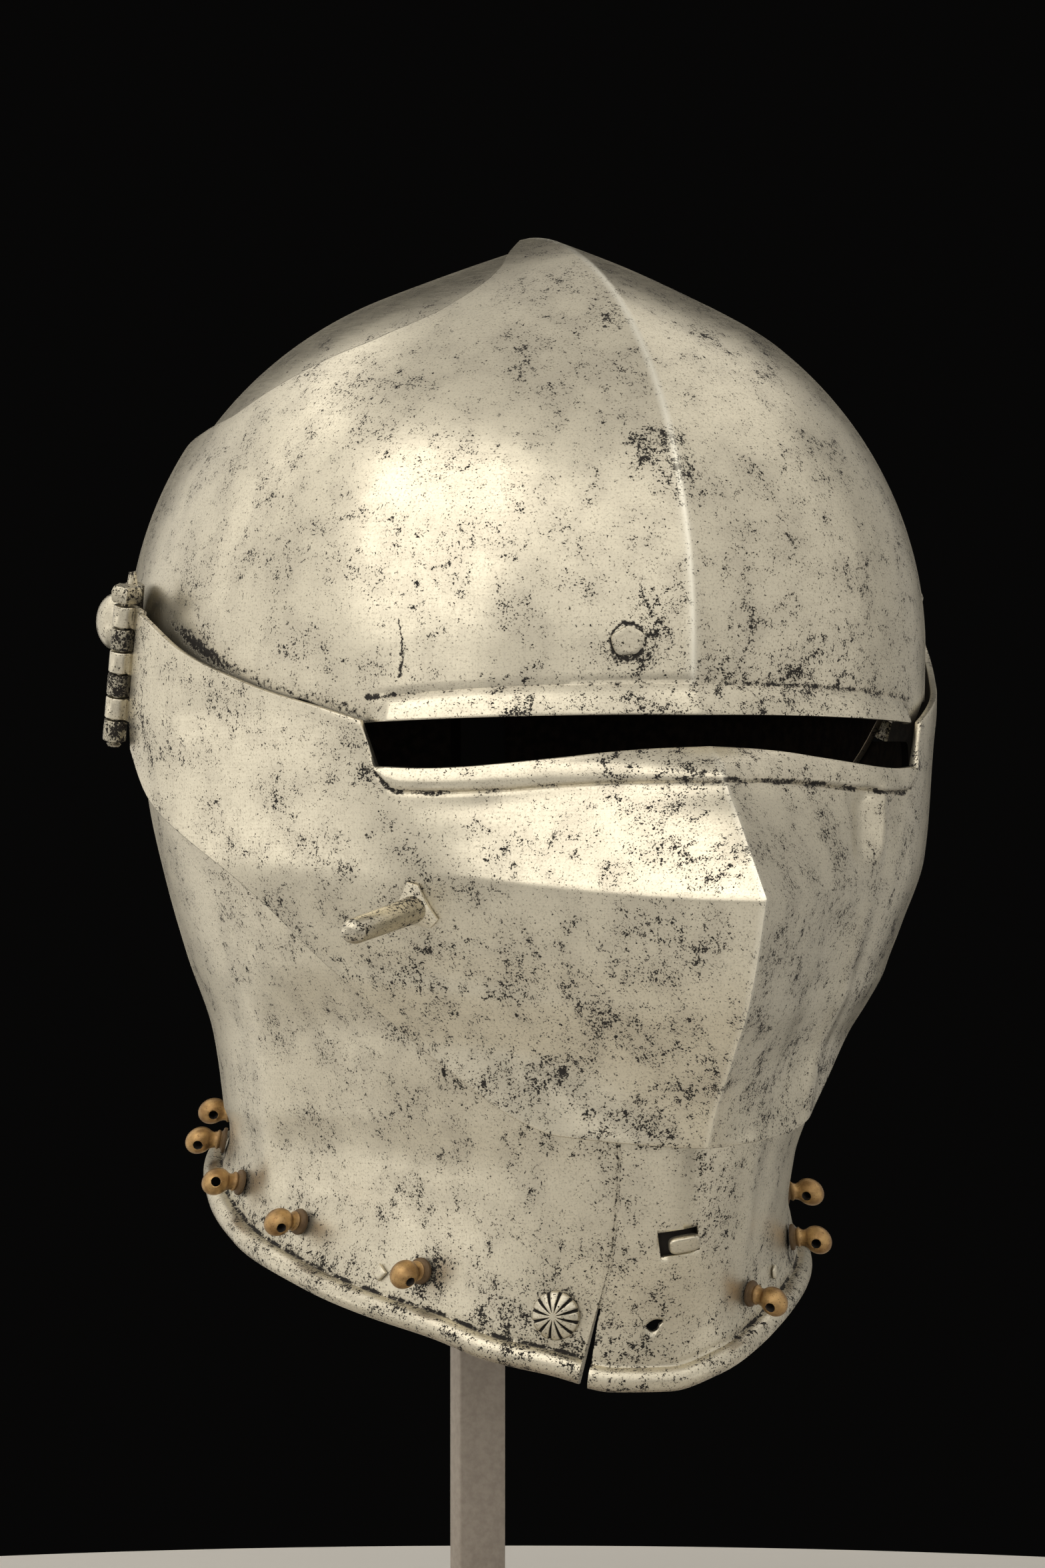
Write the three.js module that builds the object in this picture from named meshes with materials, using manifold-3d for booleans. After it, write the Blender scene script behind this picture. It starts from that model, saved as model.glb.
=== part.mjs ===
// An armet helmet on a plain display stand, in millimetres, +Z up. The face looks along -Y.
import * as THREE from 'three';
import { mergeVertices } from 'three/addons/utils/BufferGeometryUtils.js';
import Module from 'manifold-3d';

const wasm = await Module();
wasm.setup();

// Where the helmet's own frame sits above the stand's underside
const EYE_HEIGHT = 232;
const SHIFT_Y = 17;

// Plate thickness and the clearances between plates
const PLATE = 1.8;
const BROW_CLEAR = 0.95;
const CHEEK_CLEAR = 0.9;
const SEAM_CLEAR = 0.45;
const SMALL_GAP = 0.3;

// The bowl above its widest line
const EQUATOR = 35;
const BOWL_RISE = 98.5;
const CREST_RISE = 6;
const KEEL_RISE = 1.5;
const ARC = 100;
const APEX = ARC * Math.PI / 2;

// The neck, where the sections start to follow the tilted rim
const NECK_TOP = -85;
const RIM_LEVEL = -150;
const RIM_ROLL = 3;

// The pivots and the hinges of the visor, on the wearer's left
const PIVOT = { y: 21, z: 42, radius: 7.75, rise: 6.6, shank: 2.6, bore: 2.95, inside: 97.2 };
const HINGE = { x: 110.2, topY: 1.2, topZ: 46, footY: 10.2, footZ: 11 };
const KNUCKLE = { count: 6, length: 5.5, radius: 3, bore: 1.55, tab: 6.5 };
const PIN = { radius: 1.25, burr: 1.9, head: 3.6, headRise: 6.2 };
const ARM_SIDE = 101.7;
const LEAF_SIDE = 106.7;

// The lifting peg and its washer, which has three blunt corners
const PEG = { angle: -42, level: -37, length: 27, radius: 3.5, tip: 3.2, foot: 2.2, aim: [-0.85, -0.48, -0.21] };
const WASHER = { reach: 6.9, corners: [83, 203, 323], blunt: 13, thickness: 1.1 };

// The slot for the catch, the drop-shaped hole and the rosette rivet, by angle and rise above the rim
const CATCH = { degrees: -3.5, rise: 38, tilt: 0.17, slotLength: 10.2, slotWidth: 6.4, radius: 2.1, length: 4.4 };
const DROP = { degrees: -6.5, rise: 17, radius: 1.7 };
const ROSETTE = { degrees: -25, rise: 15, radius: 6.2, height: 2.9 };

// The lacing studs
const STUD = { collar: 3.4, neck: 2.3, ball: 3.65, reach: 6.9, hole: 1.25 };

// The display stand
const POST = { width: 13, depth: 7.5, y: 34 };
const BASE = { width: 190, depth: 190, thickness: 10, y: 10 };
const REST = { radius: 24, low: 112, clear: 0.6 };

// Horizontal sections of the cheekpieces and neck
const SKULL_HALF_WIDTH = 98.5;
// Columns: level, halfWidth, centreY, front, round, back
const BODY = [
  [35, SKULL_HALF_WIDTH, 0, 107, 2.12, 121],
  [15, 98, 0, 107, 2.12, 119],
  [-5, 95.9, 0, 106, 2.1, 116],
  [-25, 91.5, 1, 106, 2.05, 109],
  [-45, 85.2, 3, 109, 2, 102],
  [-65, 77.3, 6, 114, 1.9, 95],
  [-85, 73.6, 9, 121.2, 1.65, 90],
  [-100, 71.2, 11, 120.5, 1.6, 89],
  [-115, 70.5, 13, 119, 1.6, 90],
  [-135, 72.5, 15, 113, 1.7, 93],
  [-150, 75, 15, 110, 1.75, 95],
];

// Height of the rim's edge round the neck, by angle from the front
// Columns: angle, height
const RIM = [
  [-180, -95], [-160, -95.5], [-135, -99], [-112, -106], [-100, -113.5], [-86, -121],
  [-73, -127], [-63, -132], [-55, -135.5], [-44, -140], [-35, -145], [-25, -148],
  [-13, -151.8], [0, -151.5], [12, -148], [24, -143.5], [34, -138], [44, -133],
  [66, -125], [90, -117], [112, -107], [135, -99], [160, -95.5], [180, -95],
];

// Levels of the visor, each a section that rises toward the sides
// Columns: level, halfWidth, centreY, front, prow, round
const VISOR = [
  [50, 105, 0, 117.5, 119, 2],
  [25, 105, 0, 117.5, 119, 2],
  [9.5, 104.8, 0, 117.5, 121.6, 2],
  [1.3, 103.8, 0, 117.8, 131, 2],
  [-28, 100.5, 0, 119, 156.6, 2],
  [-46, 93.5, 0, 116, 150, 2],
  [-56, 89.5, 0, 113, 145, 2],
  [-65, 86, 1, 113, 139, 1.9],
  [-71, 84, 2, 114, 135.5, 1.8],
  [-80, 80.5, 3, 117.5, 129, 1.75],
  [-92, 77.5, 4, 120.5, 123, 1.7],
];
const VISOR_SIDE_RISE = 10;
const VISOR_CREASE = -28;
const VISOR_FLARE = 4;

// The visor's outline, by angle from the front
// Columns: angle, low, lipFoot, top
const VISOR_EDGE = [
  [0, -90.5, 1.3, 9.5],
  [6, -90.5, 1, 8.9],
  [12, -90.5, 0.2, 7.6],
  [20, -90.8, -1.8, 4.8],
  [28, -91, -4.6, 1.8],
  [34, -88.5, -6.3, -0.3],
  [40, -82.5, -7.6, -1.8],
  [45.5, -75.2, -8.2, -2.5],
  [47.2, -72.5, -8.2, 8.6],
  [54, -62.6, -6, 11.1],
  [62, -50.8, -3, 13.8],
  [70, -36.8, 2, 17.9],
  [78, -24.3, 6, 23.6],
  [85, -13, 11, 29.8],
  [90.3, -1, 14, 34],
];

// The brow plate: its lower edge by angle, and its upper edge as arc lengths from the apex
// Columns: angle, topSide, topBack, lip
const BROW = [
  [0, 0, 2, 1],
  [7, 5, -6.5, 1],
  [15, 10, -14, 1],
  [24, 17, -24.5, 1],
  [34, 25, -31.5, 1],
  [42.5, 35, -36.2, 1],
  [46.2, 42, -38, 0],
  [60, 57, -35, 0],
  [72, 70, -26.5, 0],
  [84, 84.5, -13, 0],
  [96, 94.5, 2, 0],
  [108, 96.5, 20, 0],
  [120, 95, 38, 0],
];
const BROW_EDGE = { middle: -17.7, fall: 2 };
const BROW_CREASE = { middle: -9.7, fall: 3.8 };
const LIP_FLARE = 3.2;

// Top edge of the cheekpieces and lower edge of the skull, by angle from the front
const CHEEK_TOP = [[0, -50], [20, -47], [45, -30], [62, -2], [72, 11], [180, 12]];
const SKULL_EDGE = [
  [0, 28], [74, 28], [82, 16], [90, 4], [136, 4], [142, -20], [148, -80], [152, -99], [180, -99],
];

// The pivot arm's outline from the hinge back to the rounded end
// Columns: topY, topZ, footY, footZ
const ARM = [
  [4.7, 46.2, 13.6, 12.2],
  [8.4, 50, 15.6, 19],
  [12.5, 51.8, 17.8, 25.6],
  [16.5, 52.3, 20, 30.4],
  [21, 52, 23, 32.3],
  [26, 50.7, 27.2, 34.2],
  [29.6, 47.4, 30, 37.4],
  [31.2, 43.6, 31.2, 40.6],
];

// Lacing studs by angle from the front and rise above the rim
const STUDS = [
  [-132, 11], [-115, 10.6], [-94, 13], [-72, 15], [-48, 15.2],
  [24, 15], [47, 15.3], [72, 15.8], [94, 13], [115, 10.6], [132, 11],
];

const rad = THREE.MathUtils.degToRad;
const vec = (x, y, z) => new THREE.Vector3(x, y, z);

// A smooth curve through one column of a table, without overshoot
function column(table, index, x) {
  const rows = [...table].sort((p, q) => p[0] - q[0]);
  const n = rows.length;
  const gaps = [];
  const slopes = [];
  for (let i = 0; i < n - 1; i += 1) {
    gaps.push(rows[i + 1][0] - rows[i][0]);
    slopes.push((rows[i + 1][index] - rows[i][index]) / gaps[i]);
  }
  const tangent = (i) => {
    if (i === 0) return slopes[0];
    if (i === n - 1) return slopes[n - 2];
    if (slopes[i - 1] * slopes[i] <= 0) return 0;
    const before = 2 * gaps[i] + gaps[i - 1];
    const after = gaps[i] + 2 * gaps[i - 1];
    return (before + after) / (before / slopes[i - 1] + after / slopes[i]);
  };
  const at = THREE.MathUtils.clamp(x, rows[0][0], rows[n - 1][0]);
  let i = 0;
  while (i < n - 2 && at > rows[i + 1][0]) i += 1;
  const t = (at - rows[i][0]) / gaps[i];
  const u = 1 - t;
  const value = (1 + 2 * t) * u * u * rows[i][index] + t * t * (3 - 2 * t) * rows[i + 1][index];
  return value + t * u * u * gaps[i] * tangent(i) - t * t * u * gaps[i] * tangent(i + 1);
}

// Straight lines through one column of a table
function straight(table, index, x) {
  const rows = [...table].sort((p, q) => p[0] - q[0]);
  const at = THREE.MathUtils.clamp(x, rows[0][0], rows[rows.length - 1][0]);
  let i = 0;
  while (i < rows.length - 2 && at > rows[i + 1][0]) i += 1;
  return THREE.MathUtils.mapLinear(at, rows[i][0], rows[i + 1][0], rows[i][index], rows[i + 1][index]);
}

const ease = (low, high, x) => THREE.MathUtils.smoothstep(x, low, high);

// A half-superellipse front joined to a half-ellipse back, at an angle from the front
function oval(halfWidth, front, round, back, angle) {
  const s = Math.sin(angle);
  const c = Math.cos(angle);
  if (c < 0) return [halfWidth * s, -back * c];
  const power = 2 / round;
  return [halfWidth * Math.sign(s) * Math.abs(s) ** power, -front * c ** power];
}

// A point on the outside of the cheekpieces and neck
function body(angle, level) {
  const [halfWidth, centreY, front, round, back] = [1, 2, 3, 4, 5].map((i) => column(BODY, i, level));
  const [x, y] = oval(halfWidth, front, round, back, angle);
  const keel = KEEL_RISE * ease(-20, EQUATOR, level) * Math.max(0, 1 - Math.abs(x) / 28) ** 2;
  const degrees = THREE.MathUtils.radToDeg(angle);
  const start = NECK_TOP + 20 * ease(115, 150, Math.abs(degrees));
  const edge = column(RIM, 1, degrees);
  const z = level < start ? THREE.MathUtils.mapLinear(level, start, RIM_LEVEL, start, edge) : level;
  return vec(x, y + centreY + (y < 0 ? -keel : keel), z);
}

// The level in the neck's table that lies a given distance above the rim's edge
function aboveRim(angle, distance) {
  const degrees = THREE.MathUtils.radToDeg(angle);
  const start = NECK_TOP + 20 * ease(115, 150, Math.abs(degrees));
  return RIM_LEVEL + distance * (start - RIM_LEVEL) / (start - column(RIM, 1, degrees));
}

// A point on the outside of the skull, by angle and by arc length above the widest line
function helm(angle, arc) {
  if (arc < 0) return body(angle, EQUATOR + arc);
  const [halfWidth, centreY, front, round, back] = [1, 2, 3, 4, 5].map((i) => column(BODY, i, EQUATOR));
  const [x, y] = oval(halfWidth, front, round, back, angle);
  const lift = arc / ARC;
  const point = vec(x * Math.cos(lift), centreY + y * Math.cos(lift), BOWL_RISE * Math.sin(lift));
  const high = Math.sin(lift);
  const keel = KEEL_RISE + (CREST_RISE - KEEL_RISE) * high * high;
  const fade = Math.max(0, 1 - Math.abs(point.x) / (28 + 8 * high)) ** 2;
  point.addScaledVector(point.clone().normalize(), keel * fade);
  return point.add(vec(0, 0, EQUATOR));
}

// A point on the outside of the visor, whose flanks run straight from the oval to the medial ridge
function visor(angle, level) {
  const [halfWidth, centreY, front, prow, round] = [1, 2, 3, 4, 5].map((i) => straight(VISOR, i, level));
  const turn = Math.abs(angle);
  const touch = Math.acos(Math.min(front / prow, 0.9999) ** (round / (2 * round - 2)));
  const w = Math.min(turn / touch, 1);
  const [side, face] = oval(halfWidth, front, round, front, Math.max(turn, touch));
  const x = side * w + VISOR_FLARE * ease(rad(66), rad(90), turn);
  const y = THREE.MathUtils.lerp(centreY - prow, centreY + face, w);
  return vec(Math.sign(angle) * x, y, level + VISOR_SIDE_RISE * ease(0, rad(72), turn));
}

// The outward direction of a surface, scaled so that an offset keeps the plate's thickness at a ridge
function outward(surface, u, v) {
  const step = 0.002;
  const rise = 0.1;
  const side = Math.abs(u) < 0.01 ? 0.02 : u;
  const across = surface(side + step, v).sub(surface(side - step, v));
  const up = surface(side, v + rise).sub(surface(side, v - rise));
  const normal = across.cross(up).normalize();
  if (Math.abs(u) >= 0.01) return normal;
  const flat = normal.y * normal.y + normal.z * normal.z;
  return vec(0, normal.y / flat, normal.z / flat);
}

function offset(surface, u, v, distance) {
  return surface(u, v).addScaledVector(outward(surface, u, v), distance);
}

// A closed plate from a grid of outside points and the matching grid of inside points
function plate(outside, inside) {
  const columns = outside.length;
  const rows = outside[0].length;
  const points = [...outside.flat(), ...inside.flat()];
  const out = (i, j) => i * rows + j;
  const inn = (i, j) => columns * rows + i * rows + j;
  const faces = [];
  const quad = (a, b, c, d) => faces.push(a, b, c, a, c, d);
  for (let i = 0; i < columns - 1; i += 1) {
    for (let j = 0; j < rows - 1; j += 1) {
      quad(out(i, j), out(i + 1, j), out(i + 1, j + 1), out(i, j + 1));
      quad(inn(i, j), inn(i, j + 1), inn(i + 1, j + 1), inn(i + 1, j));
    }
    quad(out(i, 0), inn(i, 0), inn(i + 1, 0), out(i + 1, 0));
    quad(out(i, rows - 1), out(i + 1, rows - 1), inn(i + 1, rows - 1), inn(i, rows - 1));
  }
  for (let j = 0; j < rows - 1; j += 1) {
    quad(out(0, j), out(0, j + 1), inn(0, j + 1), inn(0, j));
    quad(out(columns - 1, j), inn(columns - 1, j), inn(columns - 1, j + 1), out(columns - 1, j + 1));
  }
  return geometry(points, faces);
}

// A closed bowl from a ring of columns that meet at one top point
function dome(outside, inside, outerTop, innerTop) {
  const columns = outside.length;
  const rows = outside[0].length;
  const points = [...outside.flat(), ...inside.flat(), outerTop, innerTop];
  const out = (i, j) => (i % columns) * rows + j;
  const inn = (i, j) => columns * rows + (i % columns) * rows + j;
  const faces = [];
  const quad = (a, b, c, d) => faces.push(a, b, c, a, c, d);
  for (let i = 0; i < columns; i += 1) {
    for (let j = 0; j < rows - 1; j += 1) {
      quad(out(i, j), out(i + 1, j), out(i + 1, j + 1), out(i, j + 1));
      quad(inn(i, j), inn(i, j + 1), inn(i + 1, j + 1), inn(i + 1, j));
    }
    quad(out(i, 0), inn(i, 0), inn(i + 1, 0), out(i + 1, 0));
    faces.push(out(i, rows - 1), out(i + 1, rows - 1), points.length - 2);
    faces.push(inn(i, rows - 1), points.length - 1, inn(i + 1, rows - 1));
  }
  return geometry(points, faces);
}

function geometry(points, faces) {
  const made = new THREE.BufferGeometry();
  made.setAttribute('position', new THREE.Float32BufferAttribute(points.flatMap((p) => p.toArray()), 3));
  made.setIndex(faces);
  return made;
}

// Joins and cuts
function solid(shape) {
  const bare = shape.clone();
  for (const name of Object.keys(bare.attributes)) {
    if (name !== 'position') bare.deleteAttribute(name);
  }
  const merged = mergeVertices(bare, 1e-4);
  const kept = [];
  const index = merged.index.array;
  for (let i = 0; i < index.length; i += 3) {
    const [a, b, c] = [index[i], index[i + 1], index[i + 2]];
    if (a !== b && b !== c && a !== c) kept.push(a, b, c);
  }
  return new wasm.Manifold(new wasm.Mesh({
    numProp: 3,
    vertProperties: new Float32Array(merged.attributes.position.array),
    triVerts: new Uint32Array(kept),
  }));
}

function fromSolid(made) {
  const mesh = made.getMesh();
  const shape = new THREE.BufferGeometry();
  shape.setAttribute('position', new THREE.BufferAttribute(new Float32Array(mesh.vertProperties), 3));
  shape.setIndex(new THREE.BufferAttribute(new Uint32Array(mesh.triVerts), 1));
  return shape;
}

function cut(shape, ...tools) {
  return fromSolid(tools.reduce((made, tool) => made.subtract(solid(tool)), solid(shape)));
}

function join(...shapes) {
  return fromSolid(shapes.slice(1).reduce((made, shape) => made.add(solid(shape)), solid(shapes[0])));
}

// A turned piece about its own Z axis
function turned(profile, segments) {
  const shape = new THREE.LatheGeometry(profile.map(([r, z]) => new THREE.Vector2(r, z)), segments);
  return shape.rotateX(Math.PI / 2);
}

// A frame at a point, with Z along one direction and X as near as can be to another
function frameAt(point, direction, sideways) {
  const z = direction.clone().normalize();
  const y = z.clone().cross(sideways).normalize();
  const x = y.clone().cross(z);
  return new THREE.Matrix4().makeBasis(x, y, z).setPosition(point);
}

// A frame seated on a surface, with Z outward and X level
function seat(surface, u, v, lift) {
  const direction = outward(surface, u, v).normalize();
  return frameAt(offset(surface, u, v, lift), direction, vec(-direction.y, direction.x, 0));
}

// Materials
const steel = (color, roughness) => new THREE.MeshStandardMaterial({ color, roughness, metalness: 0.9 });
const brass = () => new THREE.MeshStandardMaterial({ color: 0xb08d57, roughness: 0.4, metalness: 1 });
const painted = () => new THREE.MeshStandardMaterial({ color: 0x9c9085, roughness: 0.8, metalness: 0 });

const helmet = new THREE.Group();
helmet.name = 'helmet';
helmet.position.set(0, SHIFT_Y, EYE_HEIGHT);

function add(name, shape, material) {
  const mesh = new THREE.Mesh(shape, material);
  mesh.name = name;
  helmet.add(mesh);
  return mesh;
}

const mirrorX = new THREE.Matrix4().makeScale(-1, 1, 1);

// A shape mirrored to the wearer's other side, with its faces turned back outward
function mirrored(shape) {
  const copy = fromSolid(solid(shape)).applyMatrix4(mirrorX);
  const index = copy.index.array;
  for (let i = 0; i < index.length; i += 3) [index[i], index[i + 1]] = [index[i + 1], index[i]];
  return copy;
}

// Bores for the pivots, through arm, brow plate and skull
function pivotBore(side) {
  const from = SKULL_HALF_WIDTH - 10;
  const to = LEAF_SIDE + 5;
  const bore = turned([[0, from], [PIVOT.bore, from], [PIVOT.bore, to], [0, to]], 12);
  bore.applyMatrix4(frameAt(vec(0, PIVOT.y, PIVOT.z), vec(side, 0, 0), vec(0, 1, 0)));
  return bore;
}

// The skull
const skullInset = (arc) => {
  const level = EQUATOR + arc;
  return -(PLATE + CHEEK_CLEAR) * (1 - ease(12, EQUATOR, level)) - 0.9 * (1 - ease(-60, -20, level));
};
const skullAngles = [];
for (let degrees = -180; degrees < 180; degrees += 12) skullAngles.push(degrees);
for (const degrees of [-150, -138, 138, 150]) skullAngles.push(degrees);
skullAngles.sort((p, q) => p - q);
const skullRows = 5;
const skullTurns = 8;

function skullGrid(depth) {
  return skullAngles.map((degrees) => {
    const angle = rad(degrees);
    const low = straight(SKULL_EDGE, 1, Math.abs(degrees)) - EQUATOR;
    const levels = [];
    for (let j = 0; j < skullRows; j += 1) levels.push(low * (1 - j / skullRows));
    for (let j = 0; j < skullTurns; j += 1) levels.push(APEX * j / skullTurns);
    return levels.map((arc) => offset(helm, angle, arc, skullInset(Math.min(arc, 0)) + depth));
  });
}

const outerTop = vec(0, 0, EQUATOR + BOWL_RISE + CREST_RISE);
const innerTop = outerTop.clone().add(vec(0, 0, -PLATE));
const skull = cut(dome(skullGrid(0), skullGrid(-PLATE), outerTop, innerTop), pivotBore(1), pivotBore(-1));
add('skull', skull, steel(0xcfc7ae, 0.35));

// The brow plate, laid out round the apex so that its point can pass over the crest
function overApex(side, back) {
  const reach = Math.hypot(side, back);
  const arc = APEX - Math.max(reach, 0.4);
  return [Math.atan2(side, -back), arc];
}

function browGrid(depth) {
  const rows = [...BROW.slice(1).map((row) => [-row[0], -row[1], row[2], row[3]]).reverse(), ...BROW];
  return rows.map(([degrees, topSide, topBack, lip]) => {
    const angle = rad(degrees);
    const fall = Math.min((degrees / 47) ** 2, 1);
    const edge = BROW_EDGE.middle - BROW_EDGE.fall * fall + 6 * ease(48, 58, Math.abs(degrees));
    const crease = BROW_CREASE.middle - BROW_CREASE.fall * fall + 4 * ease(48, 58, Math.abs(degrees));
    const fromApex = (arc) => [Math.sin(angle) * (APEX - arc), -Math.cos(angle) * (APEX - arc)];
    const points = [
      offset(helm, angle, edge, depth + LIP_FLARE * lip),
      offset(helm, angle, (edge + crease) / 2, depth + 0.55 * LIP_FLARE * lip),
      offset(helm, angle, crease, depth),
    ];
    const start = fromApex(crease + 1);
    const steps = 8;
    for (let j = 0; j <= steps; j += 1) {
      const t = j / steps;
      const side = THREE.MathUtils.lerp(start[0], topSide, t);
      const back = THREE.MathUtils.lerp(start[1], topBack, t);
      const [turn, arc] = overApex(side, back);
      points.push(offset(helm, turn, arc, depth));
    }
    return points;
  });
}

const brow = plate(browGrid(BROW_CLEAR + PLATE), browGrid(BROW_CLEAR));
add('brow_plate', cut(brow, pivotBore(1), pivotBore(-1)), steel(0xd2cab1, 0.35));

// The cheekpieces, from the rolled rim up
const SEAM = -17.5;
const FLANGE_END = 9;
const BACK_EDGE = 168;
const ROLL = [[16, 0], [10.5, 0], [6.2, 0], [5.4, 1.9], [3.4, RIM_ROLL], [1.2, 2.4], [0, 0.8]];
const UPPER_ROWS = 4;
const NECK_ROWS = 4;

// Levels of one column. A flange that lies under the other cheekpiece stops above its rolled rim.
function cheekLevels(angle, flange) {
  const top = straight(CHEEK_TOP, 1, Math.abs(THREE.MathUtils.radToDeg(angle)));
  const neck = aboveRim(angle, ROLL[0][0]);
  const levels = [];
  for (let j = 0; j < UPPER_ROWS; j += 1) levels.push(THREE.MathUtils.lerp(top, NECK_TOP, j / UPPER_ROWS));
  for (let j = 0; j < NECK_ROWS; j += 1) levels.push(THREE.MathUtils.lerp(NECK_TOP, neck, j / NECK_ROWS));
  const foot = THREE.MathUtils.lerp(NECK_TOP, neck, 0.8);
  ROLL.forEach(([distance], j) => levels.push(flange ? foot - j * 0.9 : aboveRim(angle, distance)));
  return levels;
}

function cheekGrid(list, depthAt, rolled) {
  return list.map(([degrees, flange]) => {
    const angle = rad(degrees);
    const levels = cheekLevels(angle, flange);
    const first = levels.length - ROLL.length;
    const points = levels.map((level, j) => {
      const roll = rolled && !flange && j >= first ? ROLL[j - first][1] : 0;
      return offset(body, angle, level, depthAt(degrees) + roll);
    });
    return points.reverse();
  });
}

const rightList = [[-BACK_EDGE, false]];
for (let degrees = -160; degrees <= -20; degrees += 10) rightList.push([degrees, false]);
rightList.push([SEAM - 1.8, false], [SEAM - 0.8, true], [-9, true], [0, true], [FLANGE_END, true]);
const rightGrid = (depth, rolled) => cheekGrid(rightList, () => depth, rolled);
add('cheek_right', plate(rightGrid(0, true), rightGrid(-PLATE, false)), steel(0xc9c1a9, 0.38));

const leftList = [[SEAM, false], [-9, false], [0, false], [FLANGE_END, false], [15, false], [22, false]];
for (let degrees = 30; degrees <= 160; degrees += 10) leftList.push([degrees, false]);
leftList.push([BACK_EDGE, false]);
const overlap = (degrees) => (PLATE + SEAM_CLEAR) * (1 - ease(11, 27, degrees));
const leftGrid = (depth, rolled) => cheekGrid(leftList, (degrees) => depth + overlap(degrees), rolled);

// The slot for the catch and the drop-shaped hole, through the wearer's left cheekpiece
const CUT_DEPTH = 6;
const catchAngle = rad(CATCH.degrees);
const catchLevel = aboveRim(catchAngle, CATCH.rise);
const slot = new THREE.BoxGeometry(CATCH.slotLength, CATCH.slotWidth, 2 * CUT_DEPTH);
slot.rotateZ(CATCH.tilt).applyMatrix4(seat(body, catchAngle, catchLevel, 1));
const dropAngle = rad(DROP.degrees);
const drop = turned([[0, -CUT_DEPTH], [DROP.radius, -CUT_DEPTH], [DROP.radius, CUT_DEPTH], [0, CUT_DEPTH]], 12);
drop.applyMatrix4(seat(body, dropAngle, aboveRim(dropAngle, DROP.rise), 1));
const cheekLeft = plate(leftGrid(0, true), leftGrid(-PLATE, false));
add('cheek_left', cut(cheekLeft, slot, drop), steel(0xcbc3ab, 0.38));

// Levels of one column of the visor's plate, which spread out evenly toward the hinge
function visorLevels(low, foot, top, lean) {
  const levels = [];
  const nominal = [low];
  for (let j = 1; j < 6; j += 1) nominal.push(THREE.MathUtils.lerp(low, VISOR_CREASE, j / 6));
  nominal.push(VISOR_CREASE);
  for (let j = 1; j < 4; j += 1) nominal.push(THREE.MathUtils.lerp(VISOR_CREASE, foot, j / 4));
  nominal.push(foot);
  for (let j = 1; j <= 2; j += 1) nominal.push(THREE.MathUtils.lerp(foot, top, j / 2));
  const last = nominal.length - 1;
  nominal.forEach((level, j) => {
    const least = THREE.MathUtils.lerp(low, top, 0.03 * j);
    const even = THREE.MathUtils.lerp(low, top, j / last);
    levels.push(THREE.MathUtils.lerp(Math.max(level, least), even, lean));
  });
  return levels;
}

function visorGrid(depth) {
  const rows = [...VISOR_EDGE.slice(1).map((row) => [-row[0], ...row.slice(1)]).reverse(), ...VISOR_EDGE];
  return rows.map(([degrees, low, foot, top]) => {
    const turn = Math.abs(degrees);
    const levels = visorLevels(low, foot, top, ease(50, 75, turn));
    return levels.map((level) => {
      const lean = -0.14 * (level + VISOR_SIDE_RISE - 28) * ease(72, 91, turn);
      return offset(visor, rad(Math.sign(degrees) * (turn + lean)), level, depth);
    });
  });
}

const visorPlate = plate(visorGrid(0), visorGrid(-PLATE));

// The hinges, each with knuckles that belong by turns to the visor and to the arm
const hingeTop = vec(HINGE.x, HINGE.topY, HINGE.topZ);
const hingeFoot = vec(HINGE.x, HINGE.footY, HINGE.footZ);
const hingeAxis = hingeTop.clone().sub(hingeFoot).normalize();
const hingeFrame = frameAt(hingeFoot, hingeAxis, vec(1, 0, 0));
const pitch = hingeTop.distanceTo(hingeFoot) / KNUCKLE.count;

// One rolled knuckle with its tab, which reaches along the hinge frame's Y in the direction of way
function knuckle(index, way) {
  const r = KNUCKLE.radius;
  const inner = LEAF_SIDE - HINGE.x;
  const start = Math.atan2(Math.sqrt(r * r - (inner + PLATE) ** 2), inner + PLATE);
  const roundSteps = 9;
  const outline = new THREE.Shape();
  for (let j = 0; j <= roundSteps; j += 1) {
    const turn = start - (start + Math.PI) * j / roundSteps;
    const spot = [r * Math.cos(turn), way * r * Math.sin(turn)];
    if (j === 0) outline.moveTo(...spot);
    else outline.lineTo(...spot);
  }
  outline.lineTo(inner, way * KNUCKLE.tab);
  outline.lineTo(inner + PLATE, way * KNUCKLE.tab);
  outline.closePath();
  const hole = new THREE.Path();
  const holeSides = 8;
  for (let j = 0; j < holeSides; j += 1) {
    const turn = Math.PI * 2 * j / holeSides;
    const spot = [KNUCKLE.bore * Math.cos(turn), KNUCKLE.bore * Math.sin(turn)];
    if (j === 0) hole.moveTo(...spot);
    else hole.lineTo(...spot);
  }
  hole.closePath();
  outline.holes.push(hole);
  const shape = new THREE.ExtrudeGeometry(outline, { depth: KNUCKLE.length, bevelEnabled: false });
  return shape.translate(0, 0, pitch * index + SMALL_GAP).applyMatrix4(hingeFrame);
}

// The visor's knuckles reach forward and the arm's backward
const frameY = vec(0, 1, 0).applyMatrix4(new THREE.Matrix4().extractRotation(hingeFrame));
const forward = frameY.y < 0 ? 1 : -1;
const visorKnuckles = [1, 3, 5].map((index) => knuckle(index, forward));
const armKnuckles = [0, 2, 4].map((index) => knuckle(index, -forward));
const visorWhole = join(visorPlate, ...visorKnuckles, ...visorKnuckles.map(mirrored));
add('visor', visorWhole, steel(0xcec6ad, 0.35));

// The pivot arms
function armGrid(depth) {
  return ARM.map(([topY, topZ, footY, footZ], i) => {
    const points = [];
    for (let j = 0; j <= 3; j += 1) {
      const y = THREE.MathUtils.lerp(footY, topY, j / 3);
      const z = THREE.MathUtils.lerp(footZ, topZ, j / 3);
      const side = THREE.MathUtils.lerp(LEAF_SIDE, ARM_SIDE, ease(0, 1.6, i));
      points.push(vec(side + depth, y, z));
    }
    return points;
  });
}

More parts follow.
